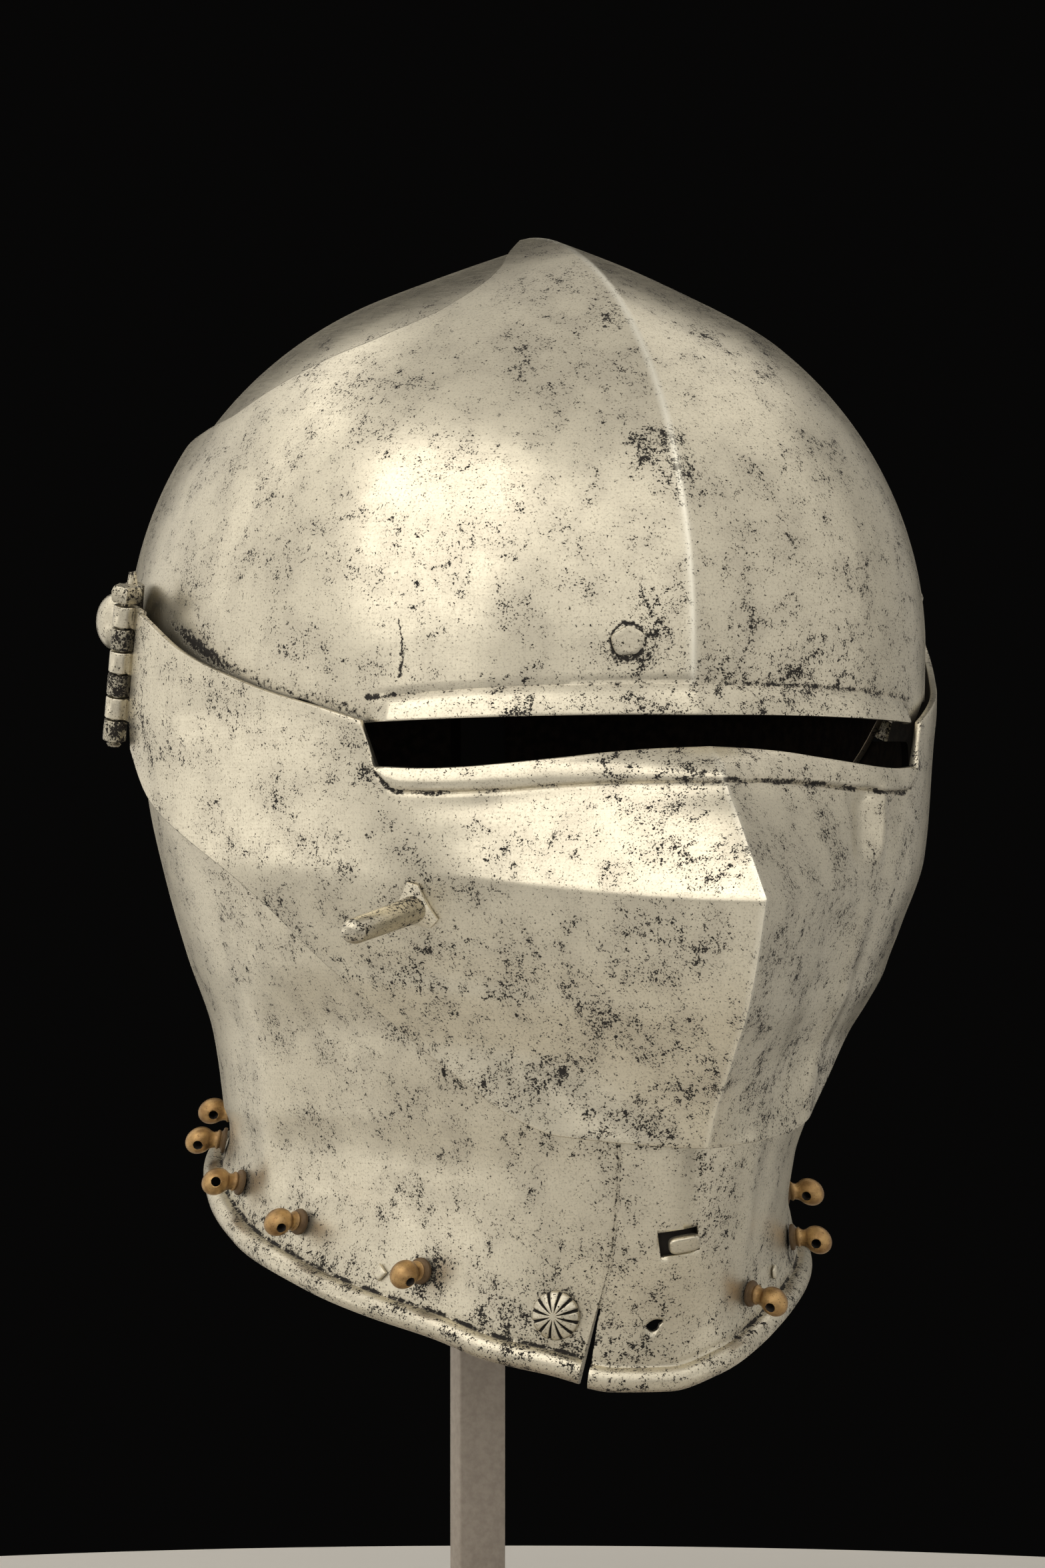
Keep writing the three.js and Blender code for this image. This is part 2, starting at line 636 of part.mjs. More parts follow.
const armPlate = plate(armGrid(PLATE), armGrid(0));
const arm = cut(join(armPlate, ...armKnuckles), pivotBore(1));
add('arm_left', arm, steel(0xbdb59d, 0.4));
add('arm_right', mirrored(arm), steel(0xbdb59d, 0.4));

// The hinge pins, with a faceted head above and a burred foot below
const pinLength = hingeTop.distanceTo(hingeFoot);
const shankTop = pinLength + 1;
const shank = [
  [0, -1.4], [PIN.burr, -1.1], [PIN.burr, -0.2], [PIN.radius, -0.1], [PIN.radius, shankTop], [0, shankTop],
];
const headFoot = pinLength + 0.5;
const head = [
  [0, headFoot], [PIN.head - 0.3, headFoot], [PIN.head, pinLength + 3], [PIN.head - 1, pinLength + 5.6],
  [0, pinLength + PIN.headRise],
];
const pinShape = join(turned(shank, 12), turned(head, 6)).applyMatrix4(hingeFrame);
add('hinge_pin_left', pinShape, steel(0x8f8a7a, 0.45));
add('hinge_pin_right', mirrored(pinShape), steel(0x8f8a7a, 0.45));

// The dome-headed pivots
const domeSeat = ARM_SIDE + PLATE + 2 * SMALL_GAP;
const domeProfile = [
  [0, PIVOT.inside], [PIVOT.shank, PIVOT.inside], [PIVOT.shank, domeSeat], [PIVOT.radius, domeSeat],
];
for (let j = 1; j <= 5; j += 1) {
  const turn = Math.PI / 2 * j / 5;
  const r = j === 5 ? 0 : PIVOT.radius * Math.cos(turn);
  domeProfile.push([r, domeSeat + 0.6 + (PIVOT.rise - 0.6) * Math.sin(turn)]);
}
const pivot = turned(domeProfile, 14);
pivot.applyMatrix4(frameAt(vec(0, PIVOT.y, PIVOT.z), vec(1, 0, 0), vec(0, 1, 0)));
add('pivot_left', pivot, steel(0xd8d0b8, 0.3));
add('pivot_right', mirrored(pivot), steel(0xd8d0b8, 0.3));

// The lifting peg and its washer, on the wearer's right of the visor
const pegAngle = rad(PEG.angle);
const washerCorner = (degrees) => new THREE.Vector2(Math.cos(rad(degrees)), Math.sin(rad(degrees)));
const washerOutline = WASHER.corners.flatMap((middle) => [middle - WASHER.blunt, middle + WASHER.blunt]);
const washer = new THREE.ExtrudeGeometry(
  new THREE.Shape(washerOutline.map((degrees) => washerCorner(degrees).multiplyScalar(WASHER.reach))),
  { depth: WASHER.thickness, bevelEnabled: false },
);
washer.translate(0, 0, -WASHER.thickness / 2);
const washerHole = turned([[0, -4], [PEG.radius + SMALL_GAP, -4], [PEG.radius + SMALL_GAP, 4], [0, 4]], 12);
const washerSeat = seat(visor, pegAngle, PEG.level, 0.85 + SMALL_GAP);
const washerShape = cut(washer, washerHole).applyMatrix4(washerSeat);
add('peg_washer', washerShape, steel(0xa59d88, 0.5));
const pegFrame = seat(visor, pegAngle, PEG.level, 0.45);
const pegAim = vec(...PEG.aim).normalize().transformDirection(pegFrame.clone().invert());
const pegReach = PEG.length * pegAim.z;
const pegProfile = [[0, 0], [PEG.radius, 0], [PEG.radius, PEG.foot], [PEG.radius - 0.1, pegReach * 0.5]];
pegProfile.push([PEG.tip, pegReach - 2], [PEG.tip * 0.75, pegReach - 0.6], [0, pegReach]);
const peg = turned(pegProfile, 12);
const position = peg.attributes.position;
for (let i = 0; i < position.count; i += 1) {
  const along = Math.max(0, position.getZ(i) - PEG.foot);
  position.setX(i, position.getX(i) + along * pegAim.x / pegAim.z);
  position.setY(i, position.getY(i) + along * pegAim.y / pegAim.z);
}
add('lifting_peg', peg.applyMatrix4(pegFrame), steel(0xd0c8b0, 0.35));

// The pierced lacing studs
const cheekDepth = (degrees) => (degrees > SEAM ? overlap(degrees) : 0);
const studProfile = [
  [0, 0], [STUD.collar, 0], [STUD.collar, 0.9], [STUD.neck, 1.3], [STUD.neck, STUD.reach - 2.8],
];
for (let j = 1; j <= 5; j += 1) {
  const turn = -0.9 + (Math.PI / 2 + 0.9) * j / 5;
  studProfile.push([j === 5 ? 0 : STUD.ball * Math.cos(turn), STUD.reach + STUD.ball * Math.sin(turn)]);
}
const studHole = turned([[0, -6], [STUD.hole, -6], [STUD.hole, 6], [0, 6]], 6);
studHole.rotateY(Math.PI / 2).translate(0, 0, STUD.reach);
const studShape = cut(turned(studProfile, 8), studHole);
STUDS.forEach(([degrees, rise], i) => {
  const angle = rad(degrees);
  const place = seat(body, angle, aboveRim(angle, rise), cheekDepth(degrees) + 0.75);
  add(`stud_${i + 1}`, studShape.clone().applyMatrix4(place), brass());
});

// The rosette rivet at the chin
const rosetteAngle = rad(ROSETTE.degrees);
const rosetteProfile = [
  [0, 0], [ROSETTE.radius, 0], [ROSETTE.radius, 0.9], [ROSETTE.radius - 2, ROSETTE.height - 0.7], [0, ROSETTE.height],
];
const rosette = turned(rosetteProfile, 20);
rosette.applyMatrix4(seat(body, rosetteAngle, aboveRim(rosetteAngle, ROSETTE.rise), 0.6));
add('chin_rosette', rosette, steel(0xc2baa3, 0.4));

// The rounded catch piece that stands in the slot
const catchShape = new THREE.CapsuleGeometry(CATCH.radius, CATCH.length, 3, 8).rotateZ(Math.PI / 2 + CATCH.tilt);
catchShape.scale(1, 1, 0.9).translate(0.3, -0.3, 1.95 + SMALL_GAP);
catchShape.applyMatrix4(seat(body, catchAngle, catchLevel, 0.1));
add('chin_catch', catchShape, steel(0xd8d0b8, 0.35));

// Small plugs and rivets that fill old holes
const PLUGS = [
  { name: 'neck_plug_front', degrees: -55, rise: 11.5, radius: 2.1, sides: 4 },
  { name: 'neck_plug_rear', degrees: -77, rise: 11, radius: 2.1, sides: 8 },
  { name: 'neck_rivet_left', degrees: 35.5, rise: 13, radius: 1.9, sides: 8 },
];
for (const { name, degrees, rise, radius, sides } of PLUGS) {
  const angle = rad(degrees);
  const shape = turned([[0, 0], [radius, 0], [radius * 0.8, 0.6], [0, 0.8]], sides);
  shape.applyMatrix4(seat(body, angle, aboveRim(angle, rise), cheekDepth(degrees) + 0.4));
  add(name, shape, steel(0xd0c8b4, 0.4));
}
const browPlug = turned([[0, 0], [3.6, 0], [3.2, 0.45], [0, 0.6]], 12);
browPlug.applyMatrix4(seat(helm, rad(-8.5), 0.5, BROW_CLEAR + PLATE + 0.35));
add('brow_plug', browPlug, steel(0xb5ad97, 0.5));

// The plain stand
const baseTop = BASE.thickness - EYE_HEIGHT;
const stand = new THREE.BoxGeometry(BASE.width, BASE.depth, BASE.thickness);
stand.translate(0, BASE.y, baseTop - BASE.thickness / 2);
add('stand_base', stand, painted());
const post = new THREE.BoxGeometry(POST.width, POST.depth, REST.low - baseTop - 2 * SMALL_GAP);
post.translate(0, POST.y, (REST.low + baseTop) / 2);
add('stand_post', post, painted());

// The rest inside the bowl, whose top follows the skull's inside
function restPoint(distance, turn, top) {
  const side = distance * Math.cos(turn);
  const back = POST.y + distance * Math.sin(turn);
  if (!top) return vec(side, back, REST.low);
  const spread = 1.12;
  const [angle, arc] = overApex(side * spread, back * spread);
  return offset(helm, angle, arc, -PLATE - REST.clear);
}

const restOuter = [];
const restInner = [];
const restSides = 16;
const restRings = [1, 0.66, 0.33];
for (let i = 0; i < restSides; i += 1) {
  const turn = Math.PI * 2 * i / restSides;
  restOuter.push(restRings.map((part) => restPoint(REST.radius * part, turn, true)));
  restInner.push(restRings.map((part) => restPoint(REST.radius * part, turn, false)));
}
const rest = dome(restOuter, restInner, restPoint(0, 0, true), restPoint(0, 0, false));
add('crown_rest', rest, painted());

export default helmet;
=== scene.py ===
"""An armet helmet on a plain display stand."""
import math

import bmesh
import bpy
import numpy as np
from mathutils import Matrix, Vector


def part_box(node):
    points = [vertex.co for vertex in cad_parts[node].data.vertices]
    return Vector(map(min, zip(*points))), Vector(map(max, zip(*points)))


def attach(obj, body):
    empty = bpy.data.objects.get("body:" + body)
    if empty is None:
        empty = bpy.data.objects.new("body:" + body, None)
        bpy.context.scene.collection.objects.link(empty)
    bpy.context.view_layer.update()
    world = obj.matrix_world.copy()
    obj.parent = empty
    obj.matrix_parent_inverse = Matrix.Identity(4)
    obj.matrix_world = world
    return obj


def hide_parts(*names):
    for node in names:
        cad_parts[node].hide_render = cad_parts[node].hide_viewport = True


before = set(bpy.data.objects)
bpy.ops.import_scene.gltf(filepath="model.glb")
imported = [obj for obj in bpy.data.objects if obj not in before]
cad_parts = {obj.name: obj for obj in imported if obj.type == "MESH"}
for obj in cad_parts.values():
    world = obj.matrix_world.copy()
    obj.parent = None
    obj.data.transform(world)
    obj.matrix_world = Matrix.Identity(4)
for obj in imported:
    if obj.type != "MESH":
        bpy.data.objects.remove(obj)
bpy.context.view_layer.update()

# The viewpoint.
# A level camera at the height of the sight, 22 degrees to the wearer's right of the face.
MM = 0.001
HELMET_AT = Vector((0.0, 0.017, 0.232))
VIEW_TURN = math.radians(22)
VIEW_DISTANCE = 2.2
VIEW_SIDESTEP = 0.00087
toward_camera = Vector((-math.sin(VIEW_TURN), -math.cos(VIEW_TURN), 0.0))
to_right = Vector((math.cos(VIEW_TURN), -math.sin(VIEW_TURN), 0.0))
camera_data = bpy.data.cameras.new("camera")
camera_data.lens = 193.5
camera_data.sensor_width = 36.0
camera = bpy.data.objects.new("camera", camera_data)
camera.location = HELMET_AT + toward_camera * VIEW_DISTANCE - to_right * VIEW_SIDESTEP
camera.rotation_euler = (-toward_camera).to_track_quat("-Z", "Y").to_euler()
bpy.context.scene.collection.objects.link(camera)
bpy.context.scene.camera = camera
bpy.context.scene.view_settings.view_transform = "Standard"


# The skull.
# One steel plate about 2 mm thick, raised with the hammer into a bowl with a soft crest, and left long
# at the nape as a narrow tail. Inside it is dark from the hammer and from old rust.
PLATE = 1.8
EDGE_ROUNDING = 0.4
CHEEK_CLEAR = 0.9
TAIL_INSET = 0.9
EQUATOR = 35.0
BOWL_RISE = 98.5
CREST_RISE = 6.0
KEEL_RISE = 1.5
ARC = 100.0
APEX = ARC * math.pi / 2
NECK_TOP = -85.0
RIM_LEVEL = -150.0

# level, halfWidth, centreY, front, round, back
BODY = [
    (35, 98.5, 0, 107, 2.12, 121),
    (15, 98, 0, 107, 2.12, 119),
    (-5, 95.9, 0, 106, 2.1, 116),
    (-25, 91.5, 1, 106, 2.05, 109),
    (-45, 85.2, 3, 109, 2, 102),
    (-65, 77.3, 6, 114, 1.9, 95),
    (-85, 73.6, 9, 121.2, 1.65, 90),
    (-100, 71.2, 11, 120.5, 1.6, 89),
    (-115, 70.5, 13, 119, 1.6, 90),
    (-135, 72.5, 15, 113, 1.7, 93),
    (-150, 75, 15, 110, 1.75, 95),
]

# angle from the front, height of the rim's edge
RIM = [
    (-180, -95), (-160, -95.5), (-135, -99), (-112, -106), (-100, -113.5), (-86, -121),
    (-73, -127), (-63, -132), (-55, -135.5), (-44, -140), (-35, -145), (-25, -148),
    (-13, -151.8), (0, -151.5), (12, -148), (24, -143.5), (34, -138), (44, -133),
    (66, -125), (90, -117), (112, -107), (135, -99), (160, -95.5), (180, -95),
]

# angle from the front, height of the skull's lower edge
SKULL_EDGE = [(0, 28), (74, 28), (82, 16), (90, 4), (136, 4), (142, -20), (148, -80), (152, -99), (180, -99)]


def ease(low, high, x):
    """Rises smoothly from 0 at low to 1 at high"""
    t = np.clip((np.asarray(x, float) - low) / (high - low), 0.0, 1.0)
    return t * t * (3.0 - 2.0 * t)


def smooth_column(table, index, at):
    """A smooth curve through one column of a table, without overshoot"""
    rows = sorted(table)
    x = np.array([row[0] for row in rows], float)
    y = np.array([row[index] for row in rows], float)
    gap = np.diff(x)
    slope = np.diff(y) / gap
    tangent = np.concatenate([slope[:1], np.zeros(len(x) - 2), slope[-1:]])
    for i in range(1, len(x) - 1):
        if slope[i - 1] * slope[i] > 0:
            before = 2 * gap[i] + gap[i - 1]
            after = gap[i] + 2 * gap[i - 1]
            tangent[i] = (before + after) / (before / slope[i - 1] + after / slope[i])
    at = np.clip(at, x[0], x[-1])
    i = np.clip(np.searchsorted(x, at, side="right") - 1, 0, len(x) - 2)
    t = (at - x[i]) / gap[i]
    u = 1.0 - t
    value = (1 + 2 * t) * u * u * y[i] + t * t * (3 - 2 * t) * y[i + 1]
    return value + t * u * u * gap[i] * tangent[i] - t * t * u * gap[i] * tangent[i + 1]


def straight_column(table, index, at):
    """Straight lines through one column of a table"""
    rows = sorted(table)
    return np.interp(at, [row[0] for row in rows], [row[index] for row in rows])


def oval(half_width, front, roundness, back, angle):
    """A half-superellipse front joined to a half-ellipse back"""
    s = np.sin(angle)
    c = np.cos(angle)
    power = 2.0 / roundness
    ahead = c >= 0
    x = np.where(ahead, np.sign(s) * np.abs(s) ** power, s) * half_width
    y = np.where(ahead, -front * np.clip(c, 0, None) ** power, -back * c)
    return x, y


def body(angle, level):
    """A point on the outside of the cheekpieces and neck, in millimetres"""
    half_width, centre_y, front, roundness, back = [smooth_column(BODY, i, level) for i in range(1, 6)]
    x, y = oval(half_width, front, roundness, back, angle)
    keel = KEEL_RISE * ease(-20, EQUATOR, level) * np.clip(1 - np.abs(x) / 28, 0, None) ** 2
    degrees = np.degrees(angle)
    start = NECK_TOP + 20 * ease(115, 150, np.abs(degrees))
    edge = smooth_column(RIM, 1, degrees)
    low = start + (level - start) / (RIM_LEVEL - start) * (edge - start)
    z = np.where(level < start, low, level)
    return np.stack([x, y + centre_y + np.where(y < 0, -keel, keel), z], -1)


def above_rim(angle, distance):
    """The level in the neck's table that lies a given distance above the rim's edge"""
    degrees = np.degrees(angle)
    start = NECK_TOP + 20 * ease(115, 150, np.abs(degrees))
    return RIM_LEVEL + distance * (start - RIM_LEVEL) / (start - smooth_column(RIM, 1, degrees))


def helm(angle, arc):
    """A point on the outside of the skull, by arc length above its widest line"""
    _, half_width, centre_y, front, roundness, back = BODY[0]
    x, y = oval(half_width, front, roundness, back, angle)
    lift = np.clip(arc, 0, None) / ARC
    point = np.stack([x * np.cos(lift), centre_y + y * np.cos(lift), BOWL_RISE * np.sin(lift) + 0 * x], -1)
    high = np.sin(lift)
    keel = KEEL_RISE + (CREST_RISE - KEEL_RISE) * high * high
    fade = np.clip(1 - np.abs(point[..., 0]) / (28 + 8 * high), 0, None) ** 2
    away = point / np.linalg.norm(point, axis=-1, keepdims=True)
    point = point + away * (keel * fade)[..., None] + np.array([0, 0, EQUATOR])
    low = body(angle, EQUATOR + np.clip(arc, None, 0))
    return np.where(np.asarray(arc + 0 * x)[..., None] < 0, low, point)


def outward(surface, u, v):
    """The outward direction, lengthened at a ridge so that an offset keeps the plate's thickness"""
    u, v = np.broadcast_arrays(np.asarray(u, float), np.asarray(v, float))
    ridge = np.abs(u) < 0.01
    side = np.where(ridge, 0.02, u)
    across = surface(side + 0.002, v) - surface(side - 0.002, v)
    up = surface(side, v + 0.1) - surface(side, v - 0.1)
    normal = np.cross(across, up)
    normal /= np.linalg.norm(normal, axis=-1, keepdims=True)
    flat = normal[..., 1] ** 2 + normal[..., 2] ** 2
    mitre = np.stack([0 * flat, normal[..., 1] / flat, normal[..., 2] / flat], -1)
    return np.where(ridge[..., None], mitre, normal)


def offset(surface, u, v, distance, ridge=0.0):
    """Points off a surface. Within ridge of the middle line they run straight to the mitred edge."""
    points = surface(u, v) + outward(surface, u, v) * np.asarray(distance)[..., None]
    if ridge:
        turns = u[:, 0]
        middle = int(np.argmin(np.abs(turns)))
        for way in (-1, 1):
            inside = np.nonzero((turns * way > 0) & (np.abs(turns) < ridge))[0]
            if len(inside):
                last = inside.max() + 1 if way > 0 else inside.min() - 1
                share = np.abs(turns[inside] / turns[last])[:, None, None]
                points[inside] = points[middle] * (1 - share) + points[last] * share
    return points


def places(surface, degrees, levels, lift=0.0):
    """Points of a surface at some angles in degrees and some levels, or lifted off it"""
    turns, levels = np.broadcast_arrays(np.radians(degrees), np.asarray(levels, float))
    return offset(surface, turns, levels, lift) if lift else surface(turns, levels)


def face_outward(made):
    """Turns the faces of a closed shape outward"""
    if made.calc_volume(signed=True) < 0:
        bmesh.ops.reverse_faces(made, faces=made.faces)


def mesh_from(name, made):
    """The mesh of a finished closed shape"""
    face_outward(made)
    mesh = bpy.data.meshes.new(name)
    made.to_mesh(mesh)
    made.free()
    return mesh


def shell(name, outside, inside, closed=False, tops=None):
    """A closed plate between two matching grids of points, with the corners of its border rounded"""
    columns, rows = outside.shape[:2]
    count = columns * rows
    points = np.concatenate([outside.reshape(-1, 3), inside.reshape(-1, 3)])
    index = np.arange(count).reshape(columns, rows)
    if closed:
        index = np.concatenate([index, index[:1]])
    outer = np.stack([index[:-1, :-1], index[1:, :-1], index[1:, 1:], index[:-1, 1:]], -1).reshape(-1, 4)
    inner = outer[:, ::-1] + count
    borders = [index[::-1, 0]]
    if tops is None:
        borders.append(index[:, -1])
    if not closed:
        borders = [np.concatenate([index[:, -1], index[-1, -2::-1], index[-2::-1, 0], index[0, 1:]])]
    faces = outer.tolist() + inner.tolist()
    edges = []
    for border in borders:
        for a, b in zip(border[:-1].tolist(), border[1:].tolist()):
            faces.append([b, a, a + count, b + count][::-1])
            edges.append((a, b))
            edges.append((a + count, b + count))
    if tops is not None:
        points = np.concatenate([points, np.array(tops)])
        last = index[:, -1].tolist()
        for a, b in zip(last[:-1], last[1:]):
            faces.append([a, b, 2 * count])
            faces.append([b + count, a + count, 2 * count + 1])
    made = bmesh.new()
    verts = [made.verts.new(p) for p in points.tolist()]
    patina = made.faces.layers.int.new("inner")
    for number, face in enumerate(faces):
        made.faces.new([verts[i] for i in face])[patina] = int(len(outer) <= number < 2 * len(outer))
    made.normal_update()
    hard = [made.edges.get((verts[a], verts[b])) for a, b in edges]
    bmesh.ops.bevel(made, geom=[e for e in hard if e], offset=EDGE_ROUNDING, segments=2, profile=0.5,
                    affect="EDGES", clamp_overlap=True)
    return piece(name, mesh_from(name, made))


def piece(name, mesh):
    """Puts a mesh made in millimetres round the helmet's own origin in its place"""
    mesh.transform(Matrix.Translation(HELMET_AT) @ Matrix.Diagonal((MM, MM, MM, 1)))
    mesh.shade_smooth()
    mesh.set_sharp_from_angle(angle=math.radians(48))
    thing = bpy.data.objects.new(name, mesh)
    bpy.context.scene.collection.objects.link(thing)
    return thing


def at_helmet(thing):
    """A piece's points in millimetres round the helmet's own origin"""
    flat = np.zeros(len(thing.data.vertices) * 3)
    thing.data.vertices.foreach_get("co", flat)
    return (flat.reshape(-1, 3) - np.array(HELMET_AT)) / MM


FEATURES_AT_ONCE = 24


def nearness(points, features, reach):
    """1 on the nearest of some feature points, and 0 from reach away"""
    best = np.full(len(points), np.inf)
    for start in range(0, len(features), FEATURES_AT_ONCE):
        away = points[:, None, :] - features[None, start:start + FEATURES_AT_ONCE, :]
        best = np.minimum(best, (away ** 2).sum(-1).min(1))
    return 1 - ease(0, reach, np.sqrt(best))


def paint(thing, name, values):
    """Stores a value at each point of a piece for its material, over what is there where it is more"""
    values = np.clip(values, 0, 1).astype(np.float32)
    layer = thing.data.attributes.get(name)
    if layer:
        before = np.zeros(len(values), np.float32)
        layer.data.foreach_get("value", before)
        values = np.maximum(values, before)
    else:
        layer = thing.data.attributes.new(name, "FLOAT", "POINT")
    layer.data.foreach_set("value", values)


def feed(tree, target, inputs):
    """Sets a node's inputs to values, or joins them to sockets"""
    for key, value in inputs.items():
        if isinstance(value, bpy.types.NodeSocket):
            tree.links.new(value, target.inputs[key])
        else:
            target.inputs[key].default_value = value


def node(tree, kind, inputs=None, **settings):
    """A shader node with its settings and its inputs"""
    made = tree.nodes.new("ShaderNode" + kind)
    for key, value in settings.items():
        setattr(made, key, value)
    feed(tree, made, inputs or {})
    return made


def sums(tree, operation, a, b, clamp=False):
    """The result of one sum between two numbers or sockets"""
    return node(tree, "Math", {0: a, 1: b}, operation=operation, use_clamp=clamp).outputs[0]


def times(tree, a, b):
    """The product of two numbers or sockets"""
    return sums(tree, "MULTIPLY", a, b)


def weighed(tree, first, *others, clamp=False):
    """A number or socket plus other sockets, each times its weight"""
    for socket, weight in others:
        first = sums(tree, "ADD", first, times(tree, socket, weight), clamp)
    return first


def vectors(tree, operation, a, b, answer=0):
    """The result of one sum between two vectors, or between a vector and the number that scales it"""
    second = 3 if operation == "SCALE" else 1
    return node(tree, "VectorMath", {0: a, second: b}, operation=operation).outputs[answer]


def rise(tree, value, low, high):
    """A smooth step of a socket from 0 at low to 1 at high"""
    made = node(tree, "MapRange", {"Value": value, "From Min": low, "From Max": high},
                interpolation_type="SMOOTHSTEP")
    return made.outputs["Result"]


def blend_colours(tree, factor, a, b):
    """Two colours mixed"""
    return node(tree, "Mix", {0: factor, 6: a, 7: b}, data_type="RGBA").outputs[2]


def noise(tree, place, scale, detail, roughness=0.5):
    """A cloudy pattern between 0 and 1"""
    made = node(tree, "TexNoise", {"Vector": place, "Scale": scale, "Detail": detail, "Roughness": roughness})
    return made.outputs[0]


def bump(tree, height, depth, strength=1.0):
    """The directions of a surface that a pattern raises, by a depth in millimetres"""
    return node(tree, "Bump", {"Strength": strength, "Distance": MM * depth, "Height": height}).outputs[0]


def painted(tree, name):
    """The values painted on the piece under a name"""
    return node(tree, "Attribute", attribute_name=name).outputs["Fac"]


def group(name, inputs, outputs):
    """An empty shader node group with its named sockets"""
    tree = bpy.data.node_groups.new(name, "ShaderNodeTree")
    for label, kind, default in inputs:
        socket = tree.interface.new_socket(label, in_out="INPUT", socket_type="NodeSocket" + kind)
        socket.default_value = default
    for label in outputs:
        tree.interface.new_socket(label, in_out="OUTPUT", socket_type="NodeSocketFloat")
    return tree, tree.nodes.new("NodeGroupInput").outputs, tree.nodes.new("NodeGroupOutput")


def new_material(name):
    """A material, its tree of nodes and its main shader"""
    made = bpy.data.materials.new(name)
    made.use_nodes = True
    return made, made.node_tree, made.node_tree.nodes["Principled BSDF"]


def millimetres(tree):
    """The place on the piece in millimetres"""
    return vectors(tree, "SCALE", node(tree, "TexCoord").outputs["Object"], 1 / MM)


# Pits of old rust: ragged dots from a fifth of a millimetre to two, in clusters, over a fine dark grain, with
# dark spots where dirt and painted shade are painted
pitting, given, result = group(
    "pitting", [("Density", "Float", 0.3), ("DirtAndShade", "Float", 0.0)], ["Pits", "Stain", "Cloud", "Grain"]
)
place = millimetres(pitting)
cluster = noise(pitting, place, 0.085, 2.0)
patch = noise(pitting, place, 0.4, 2.0)
spot = noise(pitting, place, 0.85, 4.0, 0.74)
speck = noise(pitting, place, 1.9, 2.0, 0.62)
pull = weighed(pitting, times(pitting, cluster, 0.36), (patch, 0.44), (given["Density"], 0.13))
big = rise(pitting, sums(pitting, "ADD", spot, pull), 1.118, 1.13)
small = rise(pitting, sums(pitting, "ADD", speck, pull), 1.098, 1.114)
darkening = rise(pitting, weighed(pitting, given["DirtAndShade"], (spot, 1.1)), 1.02, 1.14)
feed(pitting, result, {
    "Pits": sums(pitting, "MAXIMUM", sums(pitting, "MAXIMUM", big, small), darkening),
    "Stain": rise(pitting, weighed(pitting, pull, (spot, 0.45)), 0.6, 0.92),
    "Cloud": cluster,
    "Grain": rise(pitting, speck, 0.5, 0.72),
})

# A crack: the places near a line between two points, with a ragged edge
crack_mark, given, result = group(
    "crack", [("From", "Vector", (0, 0, 0)), ("To", "Vector", (1, 0, 0)), ("Width", "Float", 0.3)], ["Crack"]
)
place = millimetres(crack_mark)
wander = node(crack_mark, "TexNoise", {"Vector": place, "Scale": 0.5, "Detail": 3.0, "Roughness": 0.7})
wander = vectors(crack_mark, "SUBTRACT", wander.outputs["Color"], (0.5, 0.5, 0.5))
place = vectors(crack_mark, "ADD", place, vectors(crack_mark, "SCALE", wander, 3.0))
along = vectors(crack_mark, "SUBTRACT", given["To"], given["From"])
away = vectors(crack_mark, "SUBTRACT", place, given["From"])
shadow = vectors(crack_mark, "DOT_PRODUCT", away, along, "Value")
whole = vectors(crack_mark, "DOT_PRODUCT", along, along, "Value")
foot = vectors(crack_mark, "SCALE", along, sums(crack_mark, "DIVIDE", shadow, whole, clamp=True))
gap = vectors(crack_mark, "DISTANCE", away, foot, "Value")
edge = rise(crack_mark, sums(crack_mark, "DIVIDE", gap, given["Width"]), 0.5, 1.3)
feed(crack_mark, result, {"Crack": sums(crack_mark, "SUBTRACT", 1.0, edge)})

# Fine scratches of the polishing stone, longest along the helmet's height and its girth
polish, _, result = group("polish", [], ["Scratches", "Waves"])
place = millimetres(polish)
up_and_down = node(polish, "Mapping", {"Vector": place, "Scale": (2.2, 2.2, 0.1)}).outputs[0]
round_about = node(polish, "Mapping", {"Vector": place, "Scale": (0.12, 0.12, 2.6)}).outputs[0]
both = sums(polish, "ADD", noise(polish, up_and_down, 1.0, 3.0), noise(polish, round_about, 1.0, 3.0))
feed(polish, result, {"Scratches": times(polish, both, 0.5), "Waves": noise(polish, place, 0.05, 2.0)})

BRIGHT = (0.74, 0.69, 0.565, 1)
COOL = (0.64, 0.595, 0.49, 1)
RUST_AND_SHADE = (0.014, 0.011, 0.009, 1)
UMBER = (0.20, 0.165, 0.12, 1)
HIGHLIGHT_TONE = (0.98, 0.95, 0.84, 1)


